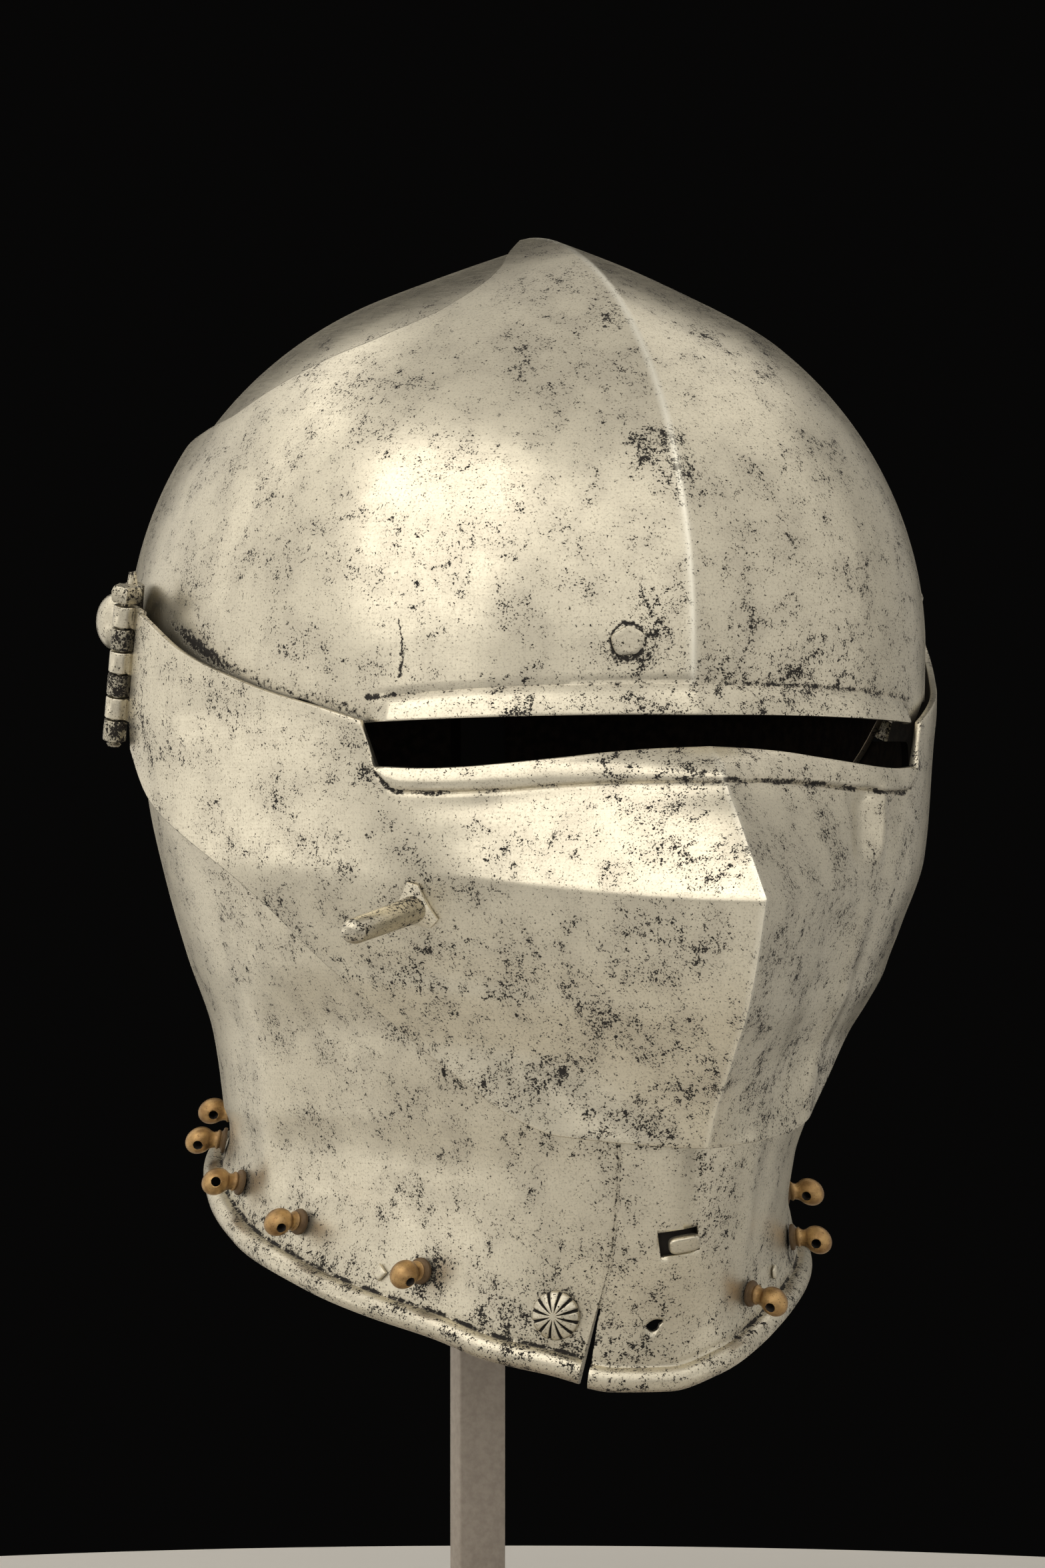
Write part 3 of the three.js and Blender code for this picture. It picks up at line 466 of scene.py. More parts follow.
def steel(name, light=1.0, density=0.3, roughness=0.29, cracks=()):
    """Old polished steel. Pits, dirt, painted shade and a painted highlight follow what is painted on the
    piece. Cracks run between points.
    """
    made, tree, shader = new_material(name)
    wear_and_shade, dirt_and_shade, painted_highlight = [painted(tree, label) for label in ("wear_and_shade", "dirt_and_shade", "painted_highlight")]
    pit = node(tree, "Group", {"Density": sums(tree, "ADD", wear_and_shade, density), "DirtAndShade": dirt_and_shade}, node_tree=pitting)
    grain = node(tree, "Group", node_tree=polish)
    pits = pit.outputs["Pits"]
    for crack_from, crack_to, width in cracks:
        ends = {"From": Vector(crack_from) + HELMET_AT / MM, "To": Vector(crack_to) + HELMET_AT / MM}
        mark = node(tree, "Group", {**ends, "Width": width}, node_tree=crack_mark)
        pits = sums(tree, "MAXIMUM", pits, mark.outputs[0])
    bright, cool = [(*(part * light for part in colour[:3]), 1) for colour in (BRIGHT, COOL)]
    tone = blend_colours(tree, rise(tree, pit.outputs["Cloud"], 0.36, 0.64), bright, cool)
    lines = rise(tree, grain.outputs["Scratches"], 0.35, 0.65)
    for mask, strength, colour in (
        (lines, 0.1, UMBER),
        (pit.outputs["Grain"], 0.42, UMBER),
        (pit.outputs["Stain"], 0.16, UMBER),
        # dirt, and the painted shade laid in creases, at seams and behind the visor, darken the tone
        (dirt_and_shade, 0.35, UMBER),
        # the painted highlight along crests and ridges lightens the tone
        (painted_highlight, 0.8, HIGHLIGHT_TONE),
    ):
        tone = blend_colours(tree, times(tree, mask, strength), tone, colour)
    pits = times(tree, pits, weighed(tree, 1.0, (painted_highlight, -0.6)))
    darkening = sums(tree, "MAXIMUM", pits, times(tree, dirt_and_shade, 0.4))
    rough = weighed(tree, roughness, (lines, 0.06), (pit.outputs["Grain"], 0.08), (darkening, 0.4), clamp=True)
    scratches = times(tree, grain.outputs["Scratches"], 0.006)
    feed(tree, shader, {
        "Base Color": blend_colours(tree, pits, tone, RUST_AND_SHADE),
        "Roughness": rough,
        "Metallic": weighed(tree, 1.0, (darkening, -0.75)),
        "Normal": bump(tree, weighed(tree, scratches, (grain.outputs["Waves"], 0.22), (pits, -0.08)), 1.0),
    })
    return made


# The dark inside of every plate
blackened, tree, shader = new_material("blackened_inside")
scale = noise(tree, millimetres(tree), 0.4, 5.0)
shade = blend_colours(tree, rise(tree, scale, 0.35, 0.7), (0.012, 0.010, 0.009, 1), (0.045, 0.032, 0.024, 1))
scale_bump = bump(tree, scale, 0.3, 0.6)
feed(tree, shader, {"Base Color": shade, "Normal": scale_bump, "Roughness": 0.75, "Metallic": 0.3})


def finish_plate(thing, material, node_name, rides="helmet"):
    """Gives a plate its outside and inside finish, hangs it on its body and hides the CAD part it stands in
    for
    """
    thing.data.materials.append(material)
    thing.data.materials.append(blackened)
    inner = np.zeros(len(thing.data.polygons), np.int32)
    thing.data.attributes["inner"].data.foreach_get("value", inner)
    thing.data.polygons.foreach_set("material_index", inner)
    thing.data.update()
    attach(thing, rides)
    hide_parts(node_name)


def skull_inset(arc):
    """How far the skull lies in from the helmet's outer surface, beneath the cheekpieces and at its tail"""
    level = EQUATOR + np.minimum(arc, 0)
    return -(PLATE + CHEEK_CLEAR) * (1 - ease(12, EQUATOR, level)) - TAIL_INSET * (1 - ease(-60, -20, level))


corners = [degrees for degrees, _ in SKULL_EDGE[1:-1]]
turns = np.unique(np.concatenate([np.arange(-180, 180, 2.5), [-1, 1], corners, np.negative(corners)]))
low = straight_column(SKULL_EDGE, 1, np.abs(turns)) - EQUATOR
below = low[:, None] * (1 - np.linspace(0, 1, 30, endpoint=False))
above = APEX * (1 - (1 - np.linspace(0, 1, 70, endpoint=False)) ** 1.2)
arcs = np.concatenate([below, np.tile(above, (len(turns), 1))], 1)
angles = np.broadcast_to(np.radians(turns)[:, None], arcs.shape)
top = np.array([0, 0, EQUATOR + BOWL_RISE + CREST_RISE])
skull = shell(
    "skull_plate",
    offset(helm, angles, arcs, skull_inset(arcs)),
    offset(helm, angles, arcs, skull_inset(arcs) - PLATE),
    closed=True,
    tops=[top, top - np.array([0, 0, PLATE])],
)
spots = at_helmet(skull)
edge_line = places(helm, np.arange(-180, 180, 3.0), -31.0)
# A painted highlight runs along the crest
paint(skull, "painted_highlight", 0.8 * (1 - ease(0.3, 1.6, np.abs(spots[:, 0]))) * (spots[:, 2] > 0))
paint(skull, "wear_and_shade", 0.25 * ease(20, 110, spots[:, 1]))
# Darker within 9 mm of a line at the skull's lower edge on its sides, where it runs under the cheekpieces,
# and across its tail
paint(skull, "dirt_and_shade", 0.5 * nearness(spots, edge_line, 9))
finish_plate(skull, steel("skull_steel", light=0.95, density=0.25), "skull")


# The brow plate.
# A second plate hammered to the front of the bowl and riveted on, drawn to a point on the crest. Its lower
# edge is turned outward as the upper lip of the sight.
BROW_CLEAR = 0.95
BROW_TOP = BROW_CLEAR + PLATE
BROW_STEPS = 84
LIP_FLARE = 3.2
CREASE_SINK = 0.25
BROW_PLUG_TURN = -8.5
BROW_PLUG_ARC = 0.5
BROW_PLUG_RING = 4.6

# angle from the front, then the upper edge as distances sideways and backward from the crest, and the lip
BROW = [
    (0, 0, 2, 1),
    (7, 5, -6.5, 1),
    (15, 10, -14, 1),
    (24, 17, -24.5, 1),
    (34, 25, -31.5, 1),
    (42.5, 35, -36.2, 1),
    (46.2, 42, -38, 0),
    (60, 57, -35, 0),
    (72, 70, -26.5, 0),
    (84, 84.5, -13, 0),
    (96, 94.5, 2, 0),
    (108, 96.5, 20, 0),
    (120, 95, 38, 0),
]

# share of the way from the lower edge up to the crease, share of the flare
LIP_SHAPE = [(0, 1), (0.12, 0.94), (0.3, 0.8), (0.5, 0.62), (0.7, 0.4), (0.85, 0.17), (0.94, 0.02), (1, 0)]


def brow_lines(degrees):
    """The arcs of the brow plate's lower edge and of the crease above it"""
    fall = np.minimum((degrees / 47) ** 2, 1)
    slope = ease(48, 58, np.abs(degrees))
    return -17.7 - 2 * fall + 6 * slope, -9.7 - 3.8 * fall + 4 * slope


def brow_surface(depth):
    """Points of the brow plate from its lower edge up to its upper one"""
    by_lip_end = np.arange(41, 48, 0.5)
    turns = np.concatenate([np.arange(-120, 120.1, 1.25), np.arange(-4, 4.1, 0.5), by_lip_end, -by_lip_end])
    turns = np.unique(np.round(turns, 3))
    edge, crease = brow_lines(turns)
    lip = straight_column(BROW, 3, np.abs(turns))
    side = smooth_column(BROW, 1, np.abs(turns)) * np.sign(turns)
    back = smooth_column(BROW, 2, np.abs(turns))
    steps = []
    for share, flare in LIP_SHAPE:
        out = LIP_FLARE * flare if share < 1 else -CREASE_SINK
        steps.append(offset(helm, np.radians(turns), edge + (crease - edge) * share, depth + out * lip))
    reach = APEX - (crease + 1)
    start_side = np.sin(np.radians(turns)) * reach
    start_back = -np.cos(np.radians(turns)) * reach
    for t in np.arange(BROW_STEPS + 1) / BROW_STEPS:
        s = start_side + (side - start_side) * t
        b = start_back + (back - start_back) * t
        distance = np.maximum(np.hypot(s, b), 0.4)
        on_ridge = np.abs(s) < 1e-6
        around = np.where(on_ridge, np.where(b > 0, math.pi, 0.0), np.arctan2(s, -b))
        steps.append(offset(helm, around, APEX - distance, depth))
    return np.stack(steps, 1)


def degrees_round(points):
    """The angle of each point from the front, in degrees"""
    return np.degrees(np.arctan2(points[:, 0], -points[:, 1]))


def cracks_through(points, *widths):
    """Cracks from each point to the next, of the given widths"""
    return [(points[i], points[i + 1], width) for i, width in enumerate(widths)]


brow = shell("brow_reinforce", brow_surface(BROW_TOP), brow_surface(BROW_CLEAR))
spots = at_helmet(brow)
across = degrees_round(spots)

# Old rust is heavy in a few places, along the left half, at the lip and in a ring round the plug
rust_turns = [-2.5, -4.4, -0.2, 0.6, -5.2, -6.0, -8.0]
rust_arcs = [91.0, 49.0, 52.0, 45.0, 10.0, 4.0, -3.0]
rust_spots = places(helm, rust_turns, rust_arcs, BROW_TOP)
low_middle = (1 - ease(20, 50, spots[:, 2])) * (1 - ease(30, 60, np.abs(spots[:, 0])))
from_plug = np.linalg.norm(spots - places(helm, [BROW_PLUG_TURN], BROW_PLUG_ARC, BROW_TOP), axis=1)
left_half = ease(-20, 60, spots[:, 0])
paint(brow, "wear_and_shade", 0.22 * left_half + 1.1 * nearness(spots, rust_spots, 8) + 0.4 * low_middle)
paint(brow, "wear_and_shade", 0.7 * (1 - ease(0.0, 4.0, np.abs(from_plug - BROW_PLUG_RING))))

# A broken dark line of painted shade lies in the lip's crease, and a painted highlight runs along the crest
crease_turns = np.arange(-46, 46.1, 0.25)
crease_line = places(helm, crease_turns, brow_lines(crease_turns)[1], BROW_TOP)
broken = 0.43 + 0.13 * ease(-1, 8, across) + 0.2 * (1 - ease(-42, -36, across)) + 0.08 * np.sin(across * 1.7)
paint(brow, "dirt_and_shade", broken * nearness(spots, crease_line, 1.7) ** 0.5)
paint(brow, "painted_highlight", (1 - ease(0.3, 1.5, np.abs(spots[:, 0]))) * ease(EQUATOR - 12, EQUATOR - 6, spots[:, 2]))

# Cracks: the ring round the plug, one that runs up from the lip's right end, and a scratch near the point
around = np.radians(np.arange(0, 361, 36))
ring_turns = BROW_PLUG_TURN + 2.35 * np.cos(around)
plug_ring = places(helm, ring_turns, 0.4 + BROW_PLUG_RING * np.sin(around), BROW_TOP)
brow_cracks = cracks_through(plug_ring, *[0.42 + 0.14 * (i % 3) for i in range(10)])
brow_cracks += cracks_through(places(helm, [-41.1, -40.4, -41.0], [6.0, -1.5, -8.5], BROW_TOP), 0.3, 0.45)
brow_cracks += cracks_through(places(helm, [-2.5, 0.5], [98.0, 93.0]) * 1.02, 0.25)
finish_plate(brow, steel("brow_steel", density=0.22, cracks=brow_cracks), "brow_plate")


# The cheekpieces.
# Two plates that meet at the chin, the wearer's left over the right. Their lower edges are rolled outward
# over a wire, and the left one is pierced for the catch and by a drop-shaped hole.
SEAM = -17.5
SEAM_CLEAR = 0.45
FLANGE_END = 9.0
BACK_EDGE = 168.0
ROLL = 3.1

# angle from the front, level of the cheekpieces' upper edge
CHEEK_TOP = [(0, -50), (20, -47), (45, -30), (62, -2), (72, 11), (180, 12)]

# distances above the rim's edge of the last rows before the rolled rim
ROLL_STEPS = [16.0, 13.5, 11.0, 9.0, 7.6, 6.7]
ROLL_FOOT_BULGES = [0, 0, 0, 0, 0, -0.25]


def hammered(angle, level):
    """The soft folds and hollows of the cheekpieces, outward in millimetres"""
    degrees = np.degrees(angle)
    band = ease(-128, -112, level) * (1 - ease(-62, -44, level))
    fold = 1.0 * np.exp(-((degrees + 82) / 4.5) ** 2) - 1.7 * np.exp(-((degrees + 66) / 9) ** 2)
    chin = 0.7 * np.exp(-((degrees - 22) / 3.2) ** 2) - 0.9 * np.exp(-((degrees - 12) / 6) ** 2)
    far = 0.8 * np.exp(-((degrees - 80) / 5) ** 2) - 1.2 * np.exp(-((degrees - 62) / 9) ** 2)
    return band * (fold + chin + far)


def cheek_levels(angle, flange):
    """The levels of one column from the rim up, and how far the rolled rim bulges at each.
    The flange that lies inside the other cheekpiece has no rolled rim, and ends higher."""
    neck = above_rim(angle, ROLL_STEPS[0])
    turn = np.linspace(0, math.pi, 15)
    bulges = np.concatenate([ROLL_FOOT_BULGES, ROLL * np.sin(turn)])
    if flange:
        neck = NECK_TOP + (neck - NECK_TOP) * 0.8
        rim = neck - 0.3 * np.arange(1, len(bulges) + 1)
        bulges = 0 * bulges
    else:
        rim = above_rim(angle, np.concatenate([ROLL_STEPS, ROLL * (1 + np.cos(turn))]))
    top = straight_column(CHEEK_TOP, 1, abs(math.degrees(angle)))
    upper = np.linspace(top, NECK_TOP, 44, endpoint=False)
    lower = np.linspace(NECK_TOP, neck, 30, endpoint=False)
    return np.concatenate([upper, lower, rim])[::-1], np.concatenate([0 * upper, 0 * lower, bulges])[::-1]


def cheek(list_of_turns, depth_at):
    """The outer and inner grids of one cheekpiece"""
    columns = [cheek_levels(math.radians(degrees), flange) for degrees, flange in list_of_turns]
    levels = np.stack([column[0] for column in columns])
    bulges = np.stack([column[1] for column in columns])
    degrees = np.array([turn[0] for turn in list_of_turns])
    angles = np.broadcast_to(np.radians(degrees)[:, None], levels.shape)
    away = depth_at(degrees)[:, None] + hammered(angles, levels)
    return offset(body, angles, levels, away + bulges), offset(body, angles, levels, away - PLATE)


def unlapped(degrees):
    """The other cheekpiece keeps to the surface all the way"""
    return 0.0 * degrees


def lapped(degrees):
    """How far the wearer's left cheekpiece stands out where it lies over the other"""
    return (PLATE + SEAM_CLEAR) * (1 - ease(11, 27, degrees))


def lap_at(degrees):
    """How far the outside of the cheekpiece that shows at an angle stands out"""
    return float(lapped(degrees)) if degrees > SEAM else 0.0


right_turns = [(float(d), False) for d in np.arange(-BACK_EDGE, -20.1, 1.4)] + [(SEAM - 1.8, False)]
right_turns += [(float(d), True) for d in np.linspace(SEAM - 0.8, FLANGE_END, 14)]
cheek_right = shell("cheek_plate_right", *cheek(right_turns, unlapped))
left_turns = np.concatenate([np.arange(SEAM, 40, 0.9), np.arange(40, BACK_EDGE, 1.5), [BACK_EDGE]])
cheek_left = shell("cheek_plate_left", *cheek([(float(d), False) for d in left_turns], lapped))


def turned(name, profile, segments=48, wobble=0.0):
    """A turned piece about its own Z axis, in millimetres"""
    made = bmesh.new()
    rings = []
    for r, z in profile:
        if r < 1e-6:
            rings.append([made.verts.new((0, 0, z))])
            continue
        ring = []
        for i in range(segments):
            turn = 2 * math.pi * i / segments
            far = r * (1 + wobble * math.sin(2 * turn + 1) + wobble * 0.6 * math.sin(5 * turn))
            ring.append(made.verts.new((far * math.cos(turn), far * math.sin(turn), z)))
        rings.append(ring)
    for low_ring, high_ring in zip(rings[:-1], rings[1:]):
        for i in range(segments):
            k = (i + 1) % segments
            quad = [low_ring[i % len(low_ring)], low_ring[k % len(low_ring)],
                    high_ring[k % len(high_ring)], high_ring[i % len(high_ring)]]
            unique = list(dict.fromkeys(quad))
            if len(unique) > 2:
                made.faces.new(unique)
    return mesh_from(name, made)


def frame_at(point, direction, sideways):
    """A frame at a point with Z along one direction and X near another"""
    z = Vector(direction).normalized()
    y = z.cross(Vector(sideways)).normalized()
    x = y.cross(z)
    made = Matrix((x, y, z)).transposed().to_4x4()
    made.translation = Vector(point)
    return made


def seat(surface, angle, level, lift):
    """A frame seated on a surface, with Z outward and X level"""
    u = np.array([[angle]], float)
    v = np.array([[level]], float)
    direction = outward(surface, u, v)[0, 0]
    direction /= np.linalg.norm(direction)
    point = surface(u, v)[0, 0] + direction * lift
    return frame_at(point, direction, (-direction[1], direction[0], 0))


def by_rim(degrees, distance):
    """Points of the cheekpieces at a distance above the rim's edge"""
    return places(body, degrees, above_rim(np.radians(degrees), np.asarray(distance, float)))


def seat_by_rim(degrees, distance, lift):
    """A frame seated on the cheekpieces at a distance above the rim's edge"""
    angle = math.radians(degrees)
    return seat(body, angle, float(above_rim(angle, distance)), lift)


def carve(thing, cutter):
    """Cuts one closed piece out of another"""
    change = thing.modifiers.new("cut", "BOOLEAN")
    change.operation = "DIFFERENCE"
    change.solver = "EXACT"
    change.object = cutter
    bpy.context.view_layer.update()
    cut_mesh = bpy.data.meshes.new_from_object(thing.evaluated_get(bpy.context.evaluated_depsgraph_get()))
    thing.modifiers.remove(change)
    thing.data = cut_mesh
    bpy.data.objects.remove(cutter)


# Angles in degrees from the front, and distances in millimetres above the rim's edge
CATCH_TURN, CATCH_UP = -3.5, 38
CATCH_TILT = 0.17
DROP_TURN, DROP_UP = -6.5, 17
ROSETTE_TURN, ROSETTE_UP = -25, 15
STUDS = [(-132, 11), (-115, 10.6), (-94, 13), (-72, 15), (-48, 15.2), (24, 15),
         (47, 15.3), (72, 15.8), (94, 13), (115, 10.6), (132, 11)]

# node, angle, distance above the rim's edge, radius, sides
NECK_PLUGS = [("neck_plug_front", -55, 11.5, 2.4, 4), ("neck_plug_rear", -77, 11, 2.1, 24)]
NECK_RIVETS = [("neck_rivet_left", 35.5, 13, 1.9, 24)]

made = bmesh.new()
slot_shape = Matrix.Rotation(CATCH_TILT, 4, "Z") @ Matrix.Diagonal((10.2, 6.4, 12, 1))
bmesh.ops.create_cube(made, size=1.0, matrix=slot_shape)
slot_mesh = mesh_from("slot", made)
slot_mesh.transform(seat_by_rim(CATCH_TURN, CATCH_UP, 1))
carve(cheek_left, piece("slot_cutter", slot_mesh))
drop_mesh = turned("drop", [(0, -8), (1.7, -8), (1.7, 8), (0, 8)], 24)
for vert in drop_mesh.vertices:
    vert.co.x += 0.55 * max(vert.co.y, 0) + 0.5 * max(vert.co.x, 0) * max(vert.co.y, 0)
drop_mesh.transform(seat_by_rim(DROP_TURN, DROP_UP, 1))
carve(cheek_left, piece("drop_cutter", drop_mesh))

stud_feet = by_rim(*np.transpose(STUDS))
plug_feet = by_rim(*np.transpose([row[1:3] for row in NECK_PLUGS]))
slot_spots = by_rim([CATCH_TURN, DROP_TURN], [CATCH_UP, DROP_UP])
rosette_foot = by_rim([ROSETTE_TURN], ROSETTE_UP)
rim_line = by_rim(np.arange(-168, 168.1, 0.8), 6.6)
seam_levels = np.arange(-150, -60, 0.6)
seam_line = np.concatenate([places(body, SEAM, seam_levels, PLATE + SEAM_CLEAR),
                            places(body, SEAM - 0.7, seam_levels)])
top_turns = np.concatenate([np.arange(-72, -30, 1.0), np.arange(31, 73, 1.0)])
top_edges = places(body, top_turns, straight_column(CHEEK_TOP, 1, np.abs(top_turns)))
for thing, name in ((cheek_right, "cheek_right"), (cheek_left, "cheek_left")):
    spots = at_helmet(thing)
    low_part = 1 - ease(-128, -96, spots[:, 2])
    paint(thing, "wear_and_shade", 0.15 * low_part + 0.35 * nearness(spots, rosette_foot, 30)
          + 0.75 * nearness(spots, stud_feet, 10) + 0.3 * nearness(spots, rim_line, 12))
    # Darker round the studs, the rosette and the plugs. The thin dark lines in the rim roll's crease and
    # along the seam are painted shade, and so is the broad dark band along the upper edges, behind the visor.
    for strength, features, reach in (
        (0.75, rim_line, 1.8),
        (1.0, stud_feet, 5.2),
        (1.0, rosette_foot, 8.3),
        (0.56, seam_line, 1.3),
        (0.78, top_edges, 15),
        (0.62, plug_feet, 4.5),
    ):
        paint(thing, "dirt_and_shade", strength * nearness(spots, features, reach))
    # Where the right cheekpiece shows through the left one's slot and drop-shaped hole it is painted dark, as
    # painted shade
    if thing is cheek_right:
        paint(thing, "dirt_and_shade", ease(0.1, 0.25, nearness(spots, slot_spots, 11)))
    finish_plate(thing, steel(name + "_steel", light=0.97, density=0.3, roughness=0.36), name)


# The visor.
# One thick plate drawn out to a blunt prow and cut away below the sight, where its edge is turned as a
# lip. Three knuckles at each side are rolled from the plate itself.
VISOR_SIDE_RISE = 10.0
VISOR_CREASE = -28.0
VISOR_FLARE = 4.0

# level, halfWidth, centreY, front, prow, round
VISOR = [
    (50, 105, 0, 117.5, 119, 2),
    (25, 105, 0, 117.5, 119, 2),
    (9.5, 104.8, 0, 117.5, 121.6, 2),
    (1.3, 103.8, 0, 117.8, 131, 2),
    (-28, 100.5, 0, 119, 156.6, 2),
    (-46, 93.5, 0, 116, 150, 2),
    (-56, 89.5, 0, 113, 145, 2),
    (-65, 86, 1, 113, 139, 1.9),
    (-71, 84, 2, 114, 135.5, 1.8),
    (-80, 80.5, 3, 117.5, 129, 1.75),
    (-92, 77.5, 4, 120.5, 123, 1.7),
]

# angle, lower edge, foot of the lip, upper edge
VISOR_EDGE = [
    (0, -90.5, 1.3, 9.5),
    (6, -90.5, 1, 8.9),
    (12, -90.5, 0.2, 7.6),
    (20, -90.8, -1.8, 4.8),
    (28, -91, -4.6, 1.8),
    (34, -88.5, -6.3, -0.3),
    (40, -82.5, -7.6, -1.8),
    (45.5, -75.2, -8.2, -2.5),
    (47.2, -72.5, -8.2, 8.6),
    (54, -62.6, -6, 11.1),
    (62, -50.8, -3, 13.8),
    (70, -36.8, 2, 17.9),
    (78, -24.3, 6, 23.6),
    (85, -13, 11, 29.8),
    (90.3, -1, 14, 34),
]

SIGHT_EDGE = [row for row in VISOR_EDGE if row[0] <= 45.5]
FLANK_EDGE = [row for row in VISOR_EDGE if row[0] >= 47.2]


def visor(angle, level):
    """A point on the outside of the visor, whose flanks run straight from the oval to the medial ridge"""
    half_width, centre_y, front, roundness = [smooth_column(VISOR, i, level) for i in (1, 2, 3, 5)]
    upper = straight_column(VISOR, 4, level)
    lower = smooth_column([row for row in VISOR if row[0] <= VISOR_CREASE], 4, level)
    prow = np.where(level > VISOR_CREASE, upper, lower)
    turn = np.abs(angle)
    touch = np.arccos(np.minimum(front / prow, 0.9999) ** (roundness / (2 * roundness - 2)))
    w = np.minimum(turn / touch, 1)
    side, face = oval(half_width, front, roundness, front, np.maximum(turn, touch))
    x = side * w + VISOR_FLARE * ease(math.radians(66), math.radians(90), turn)
    y = (centre_y - prow) * (1 - w) + (centre_y + face) * w
    return np.stack([np.sign(angle) * x, y, level + VISOR_SIDE_RISE * ease(0, math.radians(72), turn)], -1)


def lip_start(wide, foot, top):
    """The level where the lip starts, which nears the plate's edge towards the lip's ends"""
    return foot + (top - foot) * 0.8 * ease(41.5, 46.2, wide) ** 2


def visor_relief(degrees, level, foot, top):
    """The lip's rounded band and groove, and the folds and dents of the flanks, outward in millimetres"""
    wide = np.abs(degrees)
    here = 1 - ease(45.4, 46.6, wide)
    foot = lip_start(wide, foot, top)
    share = np.clip((level - foot) / (top - foot), 0, 1)
    band = 0.95 * np.clip(1 - (1.9 * share - 0.8) ** 2, 0, 1) * (level > foot)
    groove = -0.5 * np.exp(-((level - foot + 0.25) / 0.5) ** 2)
    hollow = -0.28 * np.exp(-((level - foot + 4.0) / 2.8) ** 2) * (1 - ease(30, 42, wide))
    below = 1 - ease(-40, -30, level)
    fold = below * (0.7 * np.exp(-((degrees - 33) / 2.2) ** 2) - 1.0 * np.exp(-((degrees - 24) / 6) ** 2))
    above = ease(-27, -20, level) * (1 - ease(-9, -3, level))
    dent = above * (1.2 * np.exp(-((degrees - 34) / 1.3) ** 2) - 1.4 * np.exp(-((degrees - 29.5) / 2.6) ** 2))
    return here * (band + groove + hollow) + fold + dent


def visor_surface(depth):
    """Points of the visor from its lower edge up to its upper one, closer together at the ridge and lip"""
    turns = np.concatenate([np.arange(0, 44, 0.8), np.arange(0, 4, 0.4), np.arange(44, 48, 0.2),
                            np.arange(48, 90.3, 1.0), [90.3]])
    turns = np.unique(np.round(turns, 3))
    turns = np.unique(np.concatenate([-turns, turns]))
    wide = np.abs(turns)
    foot = smooth_column(VISOR_EDGE, 2, wide)
    low = smooth_column(VISOR_EDGE, 1, wide)
    top = np.select(
        [wide <= SIGHT_EDGE[-1][0], wide >= FLANK_EDGE[0][0]],
        [smooth_column(SIGHT_EDGE, 3, wide), smooth_column(FLANK_EDGE, 3, wide)],
        straight_column(VISOR_EDGE, 3, wide),
    )
    shares = np.linspace(0, 1, 44, endpoint=False)
    nominal = [low + (VISOR_CREASE - low) * t for t in shares]
    nominal += [VISOR_CREASE + (foot - 3.0 - VISOR_CREASE) * t for t in np.linspace(0, 1, 22, endpoint=False)]
    nominal += [foot - d for d in (3.0, 2.3, 1.7, 1.2, 0.8, 0.5, 0.2, -0.1, -0.5)]
    nominal += [foot + 0.5 + (top - foot - 0.5) * t for t in np.linspace(0, 1, 10)[1:]]
    nominal = np.stack(nominal, 1)
    order = np.arange(nominal.shape[1]) / (nominal.shape[1] - 1)
    least = low[:, None] + (top - low)[:, None] * 0.4 * order
    even = low[:, None] + (top - low)[:, None] * order
    lean = ease(50, 75, wide)[:, None]
    levels = np.maximum(nominal, least) * (1 - lean) + even * lean
    shift = -0.14 * (levels + VISOR_SIDE_RISE - 28) * ease(72, 91, wide)[:, None]
    angles = np.radians(np.sign(turns)[:, None] * (wide[:, None] + shift))
    relief = visor_relief(turns[:, None] + 0 * levels, levels, foot[:, None], top[:, None])
    return offset(visor, angles, levels, depth + relief, ridge=math.radians(5) if depth < 0 else 0.0)


visor_plate = shell("visor_plate", visor_surface(0.0), visor_surface(-PLATE))
spots = at_helmet(visor_plate)
across = degrees_round(spots)
PEG_ANGLE = math.radians(-42)
PEG_LEVEL = -37.0
peg_foot = visor(np.array([PEG_ANGLE]), np.array([PEG_LEVEL]))
hinge_spots = np.array([[-108.0, -4.0, z] for z in (14, 22, 30, 38)])
lip_ends = places(visor, [-47.8, 47.0], [-4.5, -4.0])
lower_part = 1 - ease(-80, 5, spots[:, 2])
# Pits are painted thicker beside the prow's ridge, on the wearer's right, both for the pits there and as
# painted shade on the flat flank
shade_by_ridge = (1 - ease(4, 26, np.abs(spots[:, 0] + 9))) * ease(-30, -24, spots[:, 2]) * (spots[:, 1] < -90)
for strength, where in (
    (1.0, 0.34 * lower_part + 0.3 * nearness(spots, peg_foot, 26) + 0.35 * nearness(spots, hinge_spots, 14)),
    (0.9, nearness(spots, lip_ends, 6)),
    (0.3, shade_by_ridge),
):
    paint(visor_plate, "wear_and_shade", strength * where)

# A broken dark line of painted shade lies along the lip's foot, painted shadow lies round the peg, and a
# painted highlight runs along the prow
lip_turns = np.arange(-45.8, 45.9, 0.25)
wide = np.abs(lip_turns)
lip_foot = lip_start(wide, smooth_column(VISOR_EDGE, 2, wide), smooth_column(SIGHT_EDGE, 3, wide))
lip_line = places(visor, lip_turns, lip_foot - 0.3 + 0.25 * np.sin(np.radians(lip_turns) * 60))
broken = 0.47 + 0.22 * (1 - ease(-36, -31, across)) + 0.2 * ease(-7, -1, across) + 0.1 * np.sin(across * 0.9)
paint(visor_plate, "dirt_and_shade", broken * nearness(spots, lip_line, 1.5) ** 0.6)
paint(visor_plate, "dirt_and_shade", 0.5 * nearness(spots, peg_foot, 13))
paint(visor_plate, "painted_highlight", 0.45 * (1 - ease(0.2, 1.3, np.abs(spots[:, 0]))) * (spots[:, 1] < -100))

